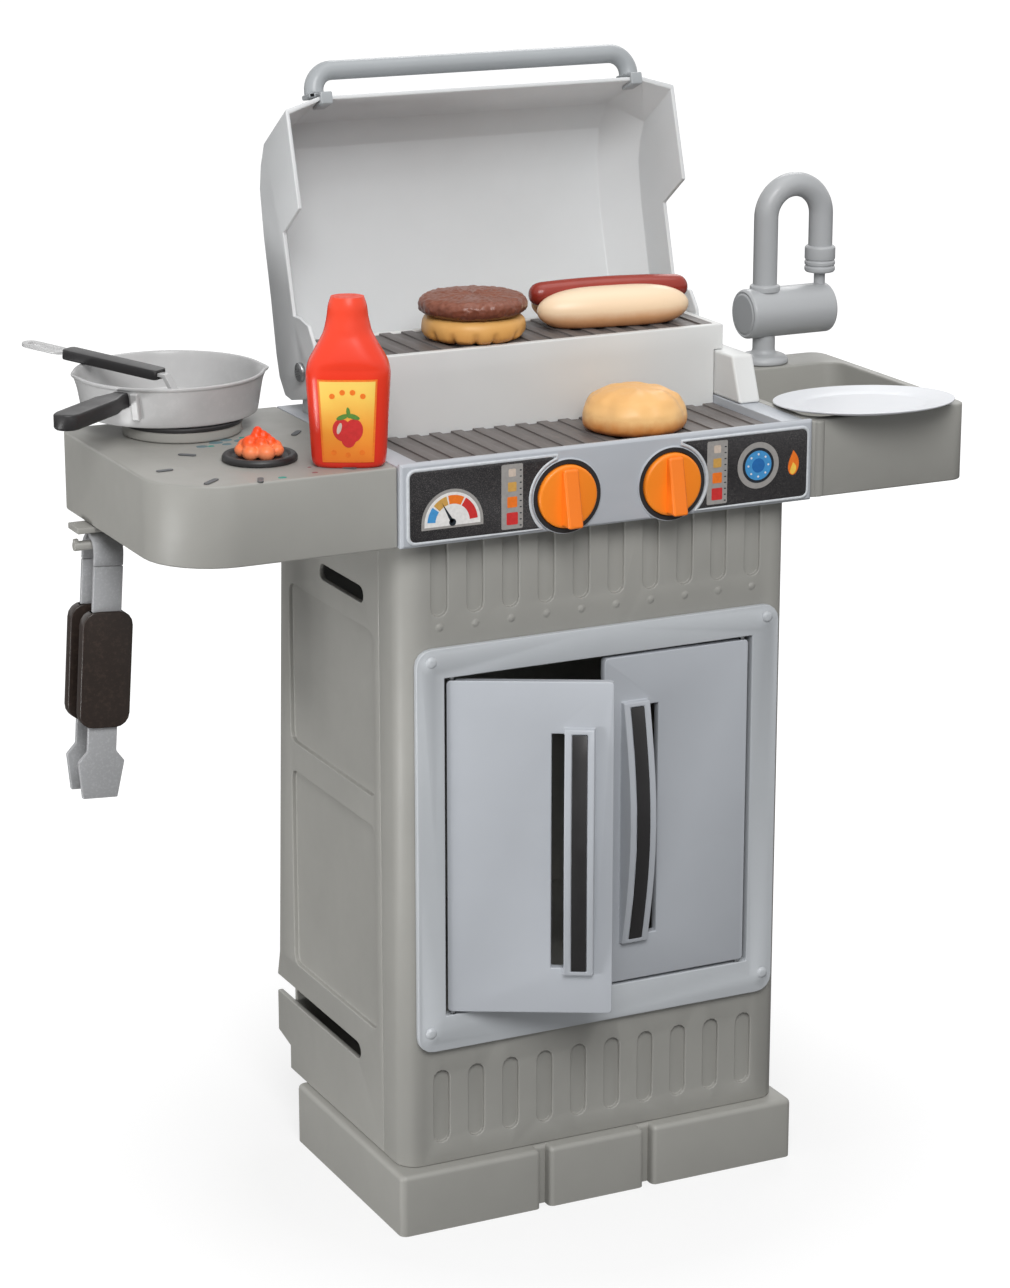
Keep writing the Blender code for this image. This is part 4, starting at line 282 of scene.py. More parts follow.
def zinc_plated_steel():
    made = Nodes("zinc_plated_steel")
    cloud = made.noise(scale=160.0, detail=4.0)
    plated = made.ramp(cloud, ((0.3, paint((168, 170, 172))), (0.7, paint((196, 197, 198)))))
    drawn = made.noise(scale=300.0, detail=3.0, roughness=0.6, stretch=(1, 1, 8))
    made.set(Base_Color=plated, Roughness=made.span(drawn, 0.22, 0.4), Metallic=1.0)


zinc_plated_steel()


def graded_by_height(name, low, high, stops, cloud, share, roughness, grain=0.1, grain_scale=700.0):
    """Colour that changes with height, from low to high, with a share of soft clouds in it."""
    made = Nodes(name)
    level = made.sum(made.height(low, high), made.noise(cloud, detail=4.0, roughness=0.6), share)
    made.set(
        Base_Color=made.ramp(level, [(position, paint(colour)) for position, colour in stops]),
        Normal=made.bump(made.noise(grain_scale, detail=3.0), strength=grain, distance=0.3),
        Roughness=roughness, IOR=1.46, Specular_IOR_Level=0.4,
    )


graded_by_height(
    "flame_orange", 664, 688,
    ((0.15, (252, 150, 104)), (0.4, (253, 128, 72)), (0.6, (250, 84, 22)), (1.0, (244, 66, 16))),
    cloud=90.0, share=0.5, roughness=0.34,
)
graded_by_height(
    "bottle_red", 661, 795,
    ((0.0, (222, 50, 34)), (0.5, (236, 60, 36)), (1.0, (242, 74, 46))),
    cloud=18.0, share=0.3, roughness=0.26, grain=0.04,
)
graded_by_height(
    "label_yellow", 667, 736,
    ((0.0, (240, 128, 42)), (0.4, (246, 160, 58)), (0.75, (250, 206, 96)), (1.0, (250, 214, 110))),
    cloud=40.0, share=0.25, roughness=0.4, grain=0.03,
)
graded_by_height(
    "patty_brown", 740, 762,
    ((0.1, (92, 48, 34)), (0.5, (120, 68, 50)), (0.9, (142, 90, 72))),
    cloud=260.0, share=1.1, roughness=0.3, grain=0.5, grain_scale=520.0,
)
graded_by_height(
    "bun_base_gold", 720, 743,
    ((0.0, (186, 116, 52)), (0.3, (220, 160, 86)), (1.0, (234, 182, 108))),
    cloud=60.0, share=0.35, roughness=0.42,
)
graded_by_height(
    "bun_top_gold", 656, 692,
    ((0.0, (178, 96, 38)), (0.16, (222, 146, 78)), (0.4, (246, 198, 134)), (0.8, (240, 186, 118))),
    cloud=70.0, share=0.3, roughness=0.4,
)
graded_by_height(
    "hot_dog_cream", 722, 758,
    ((0.0, (196, 128, 78)), (0.22, (228, 172, 124)), (0.42, (246, 216, 180)), (1.0, (250, 226, 196))),
    cloud=40.0, share=0.16, roughness=0.34, grain=0.05,
)
graded_by_height(
    "sausage_red", 740, 762,
    ((0.0, (112, 34, 26)), (0.5, (140, 48, 38)), (1.0, (164, 66, 54))),
    cloud=60.0, share=0.3, roughness=0.24, grain=0.05,
)


# Pieces and how they join the solids

body_of = {
    node: body
    for body, nodes in frame["record"]["behaviour"]["bodies"].items()
    for node in nodes
}


def trim(name, bm, node, finish, bevel=0, segments=3, angle=40):
    """Makes a piece from a bmesh that is in its place, on the same body as a node."""
    bmesh.ops.recalc_face_normals(bm, faces=bm.faces)
    mesh = frozen(name, bm)
    piece = shown(name, mesh)
    mesh.materials.append(finishes[finish])
    mesh.shade_smooth()
    if bevel:
        edge = piece.modifiers.new("edge", "BEVEL")
        edge.width = bevel * MM
        edge.segments = segments
        edge.limit_method = "ANGLE"
        edge.angle_limit = math.radians(angle)
        edge.use_clamp_overlap = False
        edge.loop_slide = False
        edge.harden_normals = True
    else:
        mesh.set_sharp_from_angle(angle=math.radians(angle))
    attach(piece, body_of[node])
    return piece


def stands_for(name, bm, node, finish, **settings):
    """A rebuilt piece that takes the place of a CAD node."""
    piece = trim(name, bm, node, finish, **settings)
    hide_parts(node)


def softened(node, finish, bevel, segments=3, angle=35, recess=None, splits=()):
    """The node's own shape with its moulded edges rounded."""
    bm = cad_shape(node, splits)
    if recess:
        deepened(bm, **recess)
    stands_for(node + "_moulding", bm, node, finish, bevel=bevel, segments=segments, angle=angle)


# Shapes

DOUBLES = 0.005 * MM
ON_THE_PLANE = 0.001 * MM
STILL_MIDDLE = 0.5
MOST_OF_AN_EDGE = 0.48


def everything(bm):
    return bm.verts[:] + bm.edges[:] + bm.faces[:]


def cad_shape(node, splits=()):
    """A merged copy of a CAD node's mesh, its flats whole but for planes given as axis and level."""
    bm = bmesh.new()
    bm.from_mesh(frame["nodes"][node].data)
    bmesh.ops.remove_doubles(bm, verts=bm.verts, dist=0.02 * MM)
    for axis, level in splits:
        normal = Vector((axis == 0, axis == 1, axis == 2))
        found = bmesh.ops.bisect_plane(
            bm, geom=everything(bm), dist=ON_THE_PLANE, plane_co=normal * level * MM, plane_no=normal,
        )
        for item in found["geom_cut"]:
            if isinstance(item, bmesh.types.BMEdge):
                item.seam = True
    bmesh.ops.dissolve_limit(
        bm, angle_limit=math.radians(0.05), verts=bm.verts, edges=bm.edges, delimit={"SEAM"},
    )
    return bm


def deepened(bm, axis, low, high, floor, reach):
    """Moves recess floors between two levels to another level, within a reach to both sides."""
    across = 1 - axis
    for vert in bm.verts:
        if low < abs(vert.co[axis]) / MM < high and abs(vert.co[across]) < reach * MM:
            vert.co[axis] = math.copysign(floor * MM, vert.co[axis])


def moved(bm, matrix):
    bmesh.ops.transform(bm, matrix=matrix, verts=bm.verts)
    return bm


def joined(*parts):
    """Several shapes as one."""
    whole = bmesh.new()
    for part in parts:
        mesh = frozen("part", part)
        whole.from_mesh(mesh)
        bpy.data.meshes.remove(mesh)
    return whole


def pushed(bm, face, offset):
    """Extrudes a face by an offset."""
    grown = bmesh.ops.extrude_face_region(bm, geom=[face])["geom"]
    far = [item for item in grown if isinstance(item, bmesh.types.BMVert)]
    bmesh.ops.translate(bm, vec=Vector(offset) * MM, verts=far)
    return bm


def circle_points(centre, radius, start=0, end=360, steps=48):
    """An arc between two angles; a full turn doesn't repeat its first point."""
    count = steps if end - start == 360 else steps + 1
    angles = [math.radians(start + (end - start) * i / steps) for i in range(count)]
    return [(centre[0] + radius * math.cos(a), centre[1] + radius * math.sin(a)) for a in angles]


def rounded_points(low, high, radius, steps=4):
    """A rectangle with round corners, given by two of its corners."""
    corners = (
        (low[0] + radius, low[1] + radius, 180), (high[0] - radius, low[1] + radius, 270),
        (high[0] - radius, high[1] - radius, 0), (low[0] + radius, high[1] - radius, 90),
    )
    points = []
    for x, z, start in corners:
        points += circle_points((x, z), radius, start, start + 90, steps)
    return points


def soft_profile(points, radius, steps=4):
    """The profile with every inner corner rounded to the radius, or less where an edge is short."""
    made = [points[0]]
    for before, corner, after in zip(points, points[1:], points[2:]):
        corner = Vector(corner)
        back = Vector(before) - corner
        on = Vector(after) - corner
        cut = min(radius, back.length * MOST_OF_AN_EDGE, on.length * MOST_OF_AN_EDGE)
        start = corner + back.normalized() * cut
        end = corner + on.normalized() * cut
        for i in range(steps + 1):
            t = i / steps
            made.append(tuple(start.lerp(corner, t).lerp(corner.lerp(end, t), t)))
    made.append(points[-1])
    return made


def finer(points, step):
    """The profile with points no further apart than the step."""
    made = [points[0]]
    for first, second in zip(points, points[1:]):
        edge = Vector(second) - Vector(first)
        parts = max(1, math.ceil(edge.length / step))
        made += [tuple(Vector(first).lerp(Vector(second), i / parts)) for i in range(1, parts + 1)]
    return made


ALONG_AXIS = {
    "X": Matrix.Rotation(math.pi / 2, 4, "Y"),
    "Y": Matrix.Rotation(-math.pi / 2, 4, "X"),
    "Z": Matrix(),
}


def turned(profile, centre=None, axis="Z", steps=96):
    """A profile of (radius, place along the axis) spun about a centre, or about the world's own."""
    bm = bmesh.new()
    verts = [bm.verts.new((radius * MM, 0, along * MM)) for radius, along in profile]
    for first, second in zip(verts, verts[1:]):
        bm.edges.new((first, second))
    bmesh.ops.spin(
        bm, geom=bm.verts[:] + bm.edges[:], cent=(0, 0, 0), axis=(0, 0, 1), angle=math.tau,
        steps=steps, use_merge=True,
    )
    bmesh.ops.remove_doubles(bm, verts=bm.verts, dist=DOUBLES)
    place = Matrix.Translation(at(*centre)) if centre else Matrix()
    return moved(bm, place @ ALONG_AXIS[axis])


def upright(profile, soft, centre, steps=4):
    """A profile with softened corners, spun about a place in plan."""
    return turned(soft_profile(profile, soft, steps), (*centre, 0))


def slab(outline, depth):
    """A flat outline in x and z, pushed back along y by a depth, at the world's own middle."""
    bm = bmesh.new()
    face = bm.faces.new([bm.verts.new((x * MM, 0, z * MM)) for x, z in outline])
    return pushed(bm, face, (0, depth, 0))


def block(size):
    """A block of a size in metres about the world's own middle."""
    bm = bmesh.new()
    bmesh.ops.create_cube(bm, size=1)
    return moved(bm, Matrix.Diagonal((*size, 1)))


def lump(centre, size, steps=24):
    """An ellipsoid with its centre and half sizes."""
    bm = bmesh.new()
    bmesh.ops.create_uvsphere(bm, u_segments=steps * 2, v_segments=steps, radius=1)
    scale = Matrix.Diagonal((size[0] * MM, size[1] * MM, size[2] * MM, 1))
    return moved(bm, Matrix.Translation(at(*centre)) @ scale)


def mesh_of(holder):
    """The evaluated mesh of a helper object as a bmesh, and the helper gone."""
    graph = bpy.context.evaluated_depsgraph_get()
    mesh = bpy.data.meshes.new_from_object(holder.evaluated_get(graph))
    bpy.data.objects.remove(holder)
    bm = bmesh.new()
    bm.from_mesh(mesh)
    bpy.data.meshes.remove(mesh)
    return bm


def round_bar(route, radius, round_steps=8, closed=False):
    """A round bar along a route of places."""
    curve = bpy.data.curves.new("route", "CURVE")
    curve.dimensions = "3D"
    curve.bevel_depth = radius * MM
    curve.bevel_resolution = round_steps
    curve.use_fill_caps = not closed
    spline = curve.splines.new("POLY")
    spline.points.add(len(route) - 1)
    for point, place in zip(spline.points, route):
        point.co = (*at(*place), 1)
    spline.use_cyclic_u = closed
    bm = mesh_of(shown("route", curve))
    bmesh.ops.remove_doubles(bm, verts=bm.verts, dist=DOUBLES)
    return bm


def melted(parts, voxel, relaxed):
    """Overlapping lumps as one skin, its creases relaxed."""
    holder = shown("lumps", frozen("lumps", joined(*parts)))
    skin = holder.modifiers.new("skin", "REMESH")
    skin.mode = "VOXEL"
    skin.voxel_size = voxel * MM
    soft = holder.modifiers.new("soft", "SMOOTH")
    soft.factor = 0.5
    soft.iterations = relaxed
    return mesh_of(holder)


def stacked(sections):
    """A skin over closed sections of points in metres, with both ends filled."""
    bm = bmesh.new()
    below = None
    for section in sections:
        verts = [bm.verts.new(place) for place in section]
        edges = [bm.edges.new((a, b)) for a, b in zip(verts, verts[1:] + verts[:1])]
        if below is None:
            bm.faces.new(verts)
        else:
            bmesh.ops.bridge_loops(bm, edges=below + edges)
        below = edges
    bm.faces.new(verts)
    return bm


def roughened(bm, height, scale, seed):
    """Pushes every point along its normal by soft noise of a height."""
    bm.normal_update()
    for vert in bm.verts:
        push = noise.noise(vert.co * scale + Vector((seed, seed, seed)))
        vert.co += vert.normal * push * height * MM
    return bm


def shaped(profile, centre, change, steps):
    """A turned profile whose surface moves out and up, each by angle, reach and height."""
    bm = turned(profile, centre, "Z", steps)
    middle = at(*centre)
    for vert in bm.verts:
        arm = Vector((vert.co.x - middle.x, vert.co.y - middle.y, 0))
        reach = arm.length / MM
        if reach < STILL_MIDDLE:
            continue
        angle = math.degrees(math.atan2(arm.y, arm.x))
        out, up = change(angle, reach, (vert.co.z - middle.z) / MM)
        vert.co += arm.normalized() * out * MM
        vert.co.z += up * MM
    return bm


def bell(angle, middle, width):
    """1 at the middle angle, falling off to both sides, in degrees."""
    away = (angle - middle + 180) % 360 - 180
    return math.exp(-((away / width) ** 2))


# Plinth: blocks with rounded shoulders, parted by two grooves

PLINTH_HEIGHT = 54
PLINTH_HALF_WIDTH = 187.5
PLINTH_FRONT = -13
PLINTH_BACK = 211
PLINTH_CORNER = 6
PLINTH_SHOULDER = 4.4
PLINTH_WALL = 4.5
PLINTH_GROOVES = (-53.5, 45.5)
GROOVE_HALF_WIDTH = 4.2
GROOVE_LIP = 4.8
GROOVE_DEPTH = 10
BRACE_LOW = (-183.5, 94, 0.4)
BRACE_HIGH = (183.5, 104, 50)


def plinth_outline():
    lip = GROOVE_LIP
    corner = PLINTH_CORNER
    side = PLINTH_HALF_WIDTH - corner
    front = PLINTH_FRONT + corner
    back = PLINTH_BACK - corner
    points = circle_points((-side, front), corner, 180, 270, 5)
    for groove in PLINTH_GROOVES:
        left = groove - GROOVE_HALF_WIDTH
        right = groove + GROOVE_HALF_WIDTH
        points += circle_points((left - lip, PLINTH_FRONT + lip), lip, 270, 360, 5)
        points += [(left, PLINTH_FRONT + GROOVE_DEPTH), (right, PLINTH_FRONT + GROOVE_DEPTH)]
        points += circle_points((right + lip, PLINTH_FRONT + lip), lip, 180, 270, 5)
    points += circle_points((side, front), corner, 270, 360, 5)
    points += circle_points((side, back), corner, 0, 90, 5)
    points += circle_points((-side, back), corner, 90, 180, 5)
    return points


def plinth_blocks():
    bm = bmesh.new()
    bottom = bm.faces.new([bm.verts.new(at(x, y, 0)) for x, y in plinth_outline()])
    pushed(bm, bottom, (0, 0, PLINTH_HEIGHT))
    half_way = PLINTH_HEIGHT * MM / 2
    edges = [edge for edge in bm.edges if all(vert.co.z > half_way for vert in edge.verts)]
    bmesh.ops.bevel(
        bm, geom=edges, offset=PLINTH_SHOULDER * MM, segments=4, profile=0.5, affect="EDGES",
        material=-1,
    )
    bm.faces.ensure_lookup_table()
    bottom = min(bm.faces, key=lambda face: face.calc_center_median().z)
    bmesh.ops.inset_region(bm, faces=[bottom], thickness=PLINTH_WALL * MM, use_even_offset=True)
    pushed(bm, bottom, (0, 0, PLINTH_HEIGHT - PLINTH_WALL))
    low = at(*BRACE_LOW)
    high = at(*BRACE_HIGH)
    return joined(bm, moved(block(high - low), Matrix.Translation((low + high) / 2)))


stands_for("plinth_blocks", plinth_blocks(), "plinth", "cabinet_grey", angle=32)


# Cabinet, frame, doors and worktop: the moulded edges of the real plastic are soft

X = 0
Y = 1
Z = 2
FRONT_RECESS = {"axis": Y, "low": 94.4, "high": 98.6, "floor": 95.2, "reach": 165}
SIDE_RECESS = {"axis": X, "low": 175, "high": 179, "floor": 175.3, "reach": 140}
RIB_PLANES = [(X, (i - 4.5) * 32) for i in range(10)]
FRAME_PLANES = ((X, 0), (Z, 325))

softened("cabinet_front", "cabinet_grey", 0.8, angle=25, recess=FRONT_RECESS, splits=RIB_PLANES)
for node in ("side_panel_left", "side_panel_right"):
    softened(node, "cabinet_grey", 1.0, recess=SIDE_RECESS)
softened("back_panel", "cabinet_grey", 1.1)
softened("cabinet_floor", "cabinet_grey", 0.8, segments=2)
softened("door_frame", "frame_pale_grey", 1.0, angle=40, splits=FRAME_PLANES)
for node in ("door_left", "door_right"):
    softened(node, "frame_blue_grey", 1.0, angle=40)
for node in ("grip_inlay_left", "grip_inlay_right"):
    softened(node, "grip_black", 0.25, segments=2, angle=40)
for node in ("worktop_left", "worktop_right"):
    softened(node, "cabinet_grey", 1.8)
softened("tongs_hanger", "cabinet_grey", 0.7, segments=2)
softened("grill_deck", "frame_blue_grey", 0.9, segments=2)
# The two firebox walls are one plastic, and the right one has its pale grey. The left one takes the
# darker blue-grey as painted shade, because its side lies in shade.
softened("firebox_wall_left", "frame_blue_grey", 2.5, segments=4)
softened("firebox_wall_right", "housing_pale_grey", 2.5, segments=4)
softened("grate_housing", "housing_pale_grey", 1.2)
softened("control_panel", "frame_blue_grey", 0.7, angle=40)
for node in ("lower_grate", "upper_grate"):
    softened(node, "grate_brown_grey", 0.35, segments=2)
for node in ("label_plate_left", "label_plate_right"):
    softened(node, "label_black", 0.3, segments=2, angle=50)
softened("lid", "lid_grey", 1.0, angle=24)
for node in (
    "door_pin_left_top", "door_pin_left_bottom", "door_pin_right_top", "door_pin_right_bottom",
    "knob_screw_left", "knob_screw_right", "lid_hinge_pin_left", "lid_hinge_pin_right",
):
    softened(node, "zinc_plated_steel", 0.25, segments=2, angle=40)

STUD_PLACES = ((-155, 495), (155, 495), (-157, 176), (157, 176))
STUD_PROFILE = ((0, -10.3), (3, -10.1), (4.8, -8.6), (5, -7.5))


def frame_studs():
    """The four low domes at the corners of the door frame."""
    dome = soft_profile(STUD_PROFILE, 1.2)
    return joined(*(turned(dome, (x, 0, z), "Y", 32) for x, z in STUD_PLACES))


trim("frame_studs", frame_studs(), "door_frame", "frame_pale_grey")

WING_POST_PLACE = (197.5, -12.6, 0)
WING_POST_PROFILE = ((0, 595.8), (5.5, 595.8), (5.5, 660.6), (0, 660.6))
wing_post = turned(soft_profile(WING_POST_PROFILE, 2), WING_POST_PLACE, "Z", 40)
trim("wing_post", wing_post, "worktop_right", "cabinet_grey")


# Marks moulded and painted on the left worktop

ON_WORKTOP = 661.3
BURNER = (-274, 55)
DASH_HALF_WIDTH = 2.4
DASH_END_RADIUS = 2.3
DASH_THICKNESS = 0.6
DASH_PROUD = 0.05
# Place in plan and length of each dash
DASHES = (
    (-336, 2, 19), (-320, 94, 15), (-224, -1, 17), (-212, 128, 17), (-300, -10, 14), (-355, 52, 14),
    (-246, 118, 12),
)
# Place in plan and radius of each dab
TEAL_DABS = ((-281, -8, 3.6), (-257, 133, 3.2), (-291, 116, 2.8))
SLATE_DABS = ((-283, 126, 6), (-272, 131, 5), (-262, 124, 6), (-298, 118, 5), (-277, 117, 4))
RED_DABS = ((-252, -4, 2.6), (-236, 18, 2.2), (-249, 14, 1.8))
DAB_HEIGHT = 661
DAB_ROUNDNESS = 0.8
DAB_PROUD = 0.5


def worktop_dashes():
    """Short dark dashes that point to the burner."""
    dashes = []
    for x, y, length in DASHES:
        turn = math.degrees(math.atan2(BURNER[1] - y, BURNER[0] - x))
        end = (length / 2, DASH_HALF_WIDTH)
        outline = rounded_points((-end[0], -end[1]), end, DASH_END_RADIUS)
        dash = moved(slab(outline, DASH_THICKNESS), Matrix.Rotation(math.pi / 2, 4, "X"))
        dashes.append(moved(dash, placing((x, y, ON_WORKTOP + DASH_PROUD), turn)))
    return joined(*dashes)


def dabs(places):
    """Low round dabs of paint."""
    return joined(*(
        lump((x, y, DAB_HEIGHT), (radius, radius * DAB_ROUNDNESS, DAB_PROUD), 10)
        for x, y, radius in places
    ))


trim("worktop_dashes", worktop_dashes(), "worktop_left", "marking_dark")
trim("teal_dabs", dabs(TEAL_DABS), "worktop_left", "marking_teal")
trim("slate_dabs", dabs(SLATE_DABS), "worktop_left", "marking_slate")
trim("red_dabs", dabs(RED_DABS), "worktop_left", "marking_red")


# Burner: a dark dish with a lumpy flame, and the raised ring under the pan

TRIVET = (-292, 178)
DISH_PROFILE = (
    (0, ON_WORKTOP), (30, ON_WORKTOP), (30, 664.6), (28.4, 666.8), (25, 666.6), (22.5, 664.5),
    (0, 664.5),
)
TRIVET_PROFILE = ((37, ON_WORKTOP), (49, ON_WORKTOP), (49, 671), (37, 671), (37, ON_WORKTOP))
BLACK_TOP_PROFILE = ((38.5, 670), (50, 670), (50, 673.3), (38.5, 673.3), (38.5, 670))
# Number of coals, reach from the middle, half width, half height, height and first angle of each tier
FLAME_TIERS = (
    (7, 14.2, 8.2, 6.2, 669.6, 12), (5, 8.6, 7.4, 6.4, 674.6, 40), (3, 3.6, 5.6, 6.2, 679.4, 80),
)
COAL_SLIMNESS = 0.82
COAL_SPREAD = 0.14

stands_for("burner_dish", upright(DISH_PROFILE, 1, BURNER), "burner_disc", "grip_black")
stands_for("burner_trivet", upright(TRIVET_PROFILE, 2, TRIVET), "burner_ring", "cabinet_grey")
# A thin black band on the trivet's top, right under the pan's base.
trim("trivet_black_top", upright(BLACK_TOP_PROFILE, 0.8, TRIVET), "burner_ring", "grip_black")


def flame_lumps():
    """Tiers of coal-like lumps that rise to a leaning peak."""
    lumps = [lump((*BURNER, 667), (16, 16, 2.4))]
    for count, reach, half_width, half_height, height, start in FLAME_TIERS:
        for i in range(count):
            angle = math.radians(start + 360 * i / count)
            swell = 1 + COAL_SPREAD * math.sin(2.3 * i + height)
            x = BURNER[0] + reach * math.cos(angle)
            y = BURNER[1] + reach * math.sin(angle)
            half = half_width * swell * COAL_SLIMNESS
            lumps.append(lump((x, y, height), (half, half, half_height * swell), 12))
    peak = (BURNER[0] - 1.5, BURNER[1], 682)
    lumps.append(lump(peak, (4.4, 4.4, 6.4), 12))
    return melted(lumps, voxel=0.8, relaxed=2)


stands_for("flame_lumps", flame_lumps(), "flame_piece", "flame_orange", angle=180)


# Pan and spatula

PAN = (-292, 204)
PAN_PROFILE = (
    (0, 673.6), (72, 673.6), (77.2, 704.3), (78.6, 705.4), (78.6, 707.6), (76, 707.6), (74.8, 703),
    (69.6, 676.1), (0, 676.1),
)
PAN_RIM = 707.6
LIPS_START = 692
LIP_WIDTH = 7
LIP_OUT = 4.2
LIP_DOWN = 1.2
# Angle and share of each lip
LIPS = ((-14, 1), (166, 0.5))
BRACKET_SIZE = (4.6, 7, 23)
BRACKET_PLACE = (75.6, 11, 0)
BRACKET_HEIGHT = 692
BRACKET_LEAN = 9.5
HANDLE_ANGLE = 220


def pan_change(angle, reach, height):
    """Two pouring lips pulled out of the rim."""
    high = max((height - LIPS_START) / (PAN_RIM - LIPS_START), 0)
    pull = high ** 2 * sum(share * bell(angle, middle, LIP_WIDTH) for middle, share in LIPS)
    return LIP_OUT * pull, -LIP_DOWN * pull


def pan_bracket():
    """The pale strap where the handle meets the wall of the pan."""
    lean = Matrix.Rotation(math.radians(BRACKET_LEAN), 4, "Y")
    out = Matrix.Translation(Vector(BRACKET_PLACE) * MM)
    side = placing((*PAN, BRACKET_HEIGHT), HANDLE_ANGLE)
    return moved(block(Vector(BRACKET_SIZE) * MM), side @ out @ lean)


bowl = finer(soft_profile(PAN_PROFILE, 1.6), 3)
stands_for("pan_bowl", shaped(bowl, (*PAN, 0), pan_change, 144), "pan", "pan_silver", angle=50)
trim("pan_bracket", pan_bracket(), "pan", "pan_silver", bevel=1.2)
softened("pan_handle", "grip_black", 2.2, segments=4, angle=40)
softened("spatula_blade", "pan_silver", 0.4, segments=2)
softened("spatula_grip", "grip_black", 1.2, angle=40)


# Tongs

softened("tongs_bow", "tongs_silver", 0.8, segments=2, angle=40)
for side in ("front", "rear"):
    softened("tongs_arm_" + side, "tongs_silver", 0.9)
    softened("tongs_sleeve_" + side, "sleeve_brown_black", 1.2, angle=40)


# Lid handle: a round bar between two clips that grip the lid's lip

LID_HINGE = (0, 188, 698)
LID_OPEN = -105.7
HANDLE_HALF_WIDTH = 147
HANDLE_BAR = -57
HANDLE_LEG_ENDS = -37
HANDLE_BEND = 17
HANDLE_HEIGHT = 681.5
CLIPS_START = -38.4

# From the closed lid's place to its place at rest
opened = placing(LID_HINGE, LID_OPEN, "X") @ Matrix.Translation(-at(*LID_HINGE))


def handle_bar():
    side = HANDLE_HALF_WIDTH - HANDLE_BEND
    bend = HANDLE_BAR + HANDLE_BEND
    route = [(-HANDLE_HALF_WIDTH, HANDLE_LEG_ENDS)]
    route += circle_points((-side, bend), HANDLE_BEND, 180, 270, 10)
    route += circle_points((side, bend), HANDLE_BEND, 270, 360, 10)
    route.append((HANDLE_HALF_WIDTH, HANDLE_LEG_ENDS))
    return round_bar([(x, y, HANDLE_HEIGHT) for x, y in route], radius=8.1)


def handle_clips():
    """The clips of the solid, cut free of its flat bar."""
    bm = moved(cad_shape("lid_handle"), opened.inverted())
    bmesh.ops.bisect_plane(
        bm, geom=everything(bm), dist=ON_THE_PLANE, plane_co=at(0, CLIPS_START, 0), plane_no=(0, -1, 0),
        clear_outer=True,
    )
    bmesh.ops.holes_fill(bm, edges=[edge for edge in bm.edges if edge.is_boundary])
    return bm


handle = moved(joined(handle_bar(), handle_clips()), opened)
stands_for("handle_bar", handle, "lid_handle", "handle_grey", bevel=1.1)


# Knobs: the turned disc and its grip in two tones

KNOBS = (("left", -41.5), ("right", 54))
KNOB_HEIGHT = 623.5
DISC_PROFILE = ((0, -26.7), (26, -26.7), (26, -16.9), (5, -16.9), (5, -11), (0, -11))
# The grip from the side, as places in y and height above the knob's middle
GRIP_SIDE = ((-25, -23.4), (-40.6, -23.4), (-30.7, 23.4), (-25, 23.4))
GRIP_WIDTH = 13.6


def knob_grip(x):
    """The wedge across a knob's face: low at the top, proud at the bottom."""
    bm = bmesh.new()
    left = x - GRIP_WIDTH / 2
    face = bm.faces.new([bm.verts.new(at(left, y, KNOB_HEIGHT + z)) for y, z in GRIP_SIDE])
    return pushed(bm, face, (GRIP_WIDTH, 0, 0))


for side, x in KNOBS:
    disc = turned(soft_profile(DISC_PROFILE, 2.6), (x, 0, KNOB_HEIGHT), "Y")
    stands_for("knob_disc_" + side, disc, "knob_" + side, "knob_orange")
    trim("knob_grip_" + side, knob_grip(x), "knob_" + side, "ridge_orange", bevel=2.2, segments=4)


# Control panel: raised rims that are paler as a painted highlight, and black rings in the gaps round
# the knobs as painted shade

RIM_FRONT = -22.1
RIM_LOW = 599
RIM_HIGH = 658
RIM_CORNER = 6
RIM_TO_KNOB_CENTRE = 33
KNOB_SHADE_RING_PROFILE = (
    (26.4, -16.2), (26.4, -22.6), (26.8, -23.3), (30.2, -23.3), (30.4, -22.9), (30.4, -16.2),
    (26.4, -16.2),
)


def label_rim(outer, inner, knob, side):
    """The rim about a left label, hollowed beside its knob, or mirrored where the side is -1."""
    across_top = inner - knob
    down = RIM_LOW - KNOB_HEIGHT
    hollow = RIM_TO_KNOB_CENTRE
    up = math.sqrt(hollow ** 2 - across_top ** 2)
    across_low = -math.sqrt(hollow ** 2 - down ** 2)
    start = math.degrees(math.atan2(down, across_low)) + 360
    end = math.degrees(math.atan2(up, across_top))
    corner = RIM_CORNER
    outline = circle_points((outer + corner, RIM_LOW + corner), corner, 180, 270, 5)
    outline += circle_points((knob, KNOB_HEIGHT), hollow, start, end, 28)
    outline.append((inner, RIM_HIGH))
    outline += circle_points((outer + corner, RIM_HIGH - corner), corner, 90, 180, 5)
    route = [(side * x, RIM_FRONT, z) for x, z in outline]
    return round_bar(route, radius=1.5, round_steps=4, closed=True)


left_rim = label_rim(outer=-181, inner=-50.5, knob=-41.5, side=1)
right_rim = label_rim(outer=-182, inner=-63, knob=-54, side=-1)
# Raised rims round the labels, their paler colour a painted highlight.
trim("label_rim_left", left_rim, "control_panel", "rim_painted_highlight")
trim("label_rim_right", right_rim, "control_panel", "rim_painted_highlight")
# Black rings in the gap between each knob and its hole: painted shade.
for side, x in KNOBS:
    shade_ring = turned(KNOB_SHADE_RING_PROFILE, (x, 0, KNOB_HEIGHT), "Y")
    trim("knob_shade_ring_" + side, shade_ring, "control_panel", "grip_black", angle=30)


# Printed labels, in millimetres across and above the floor

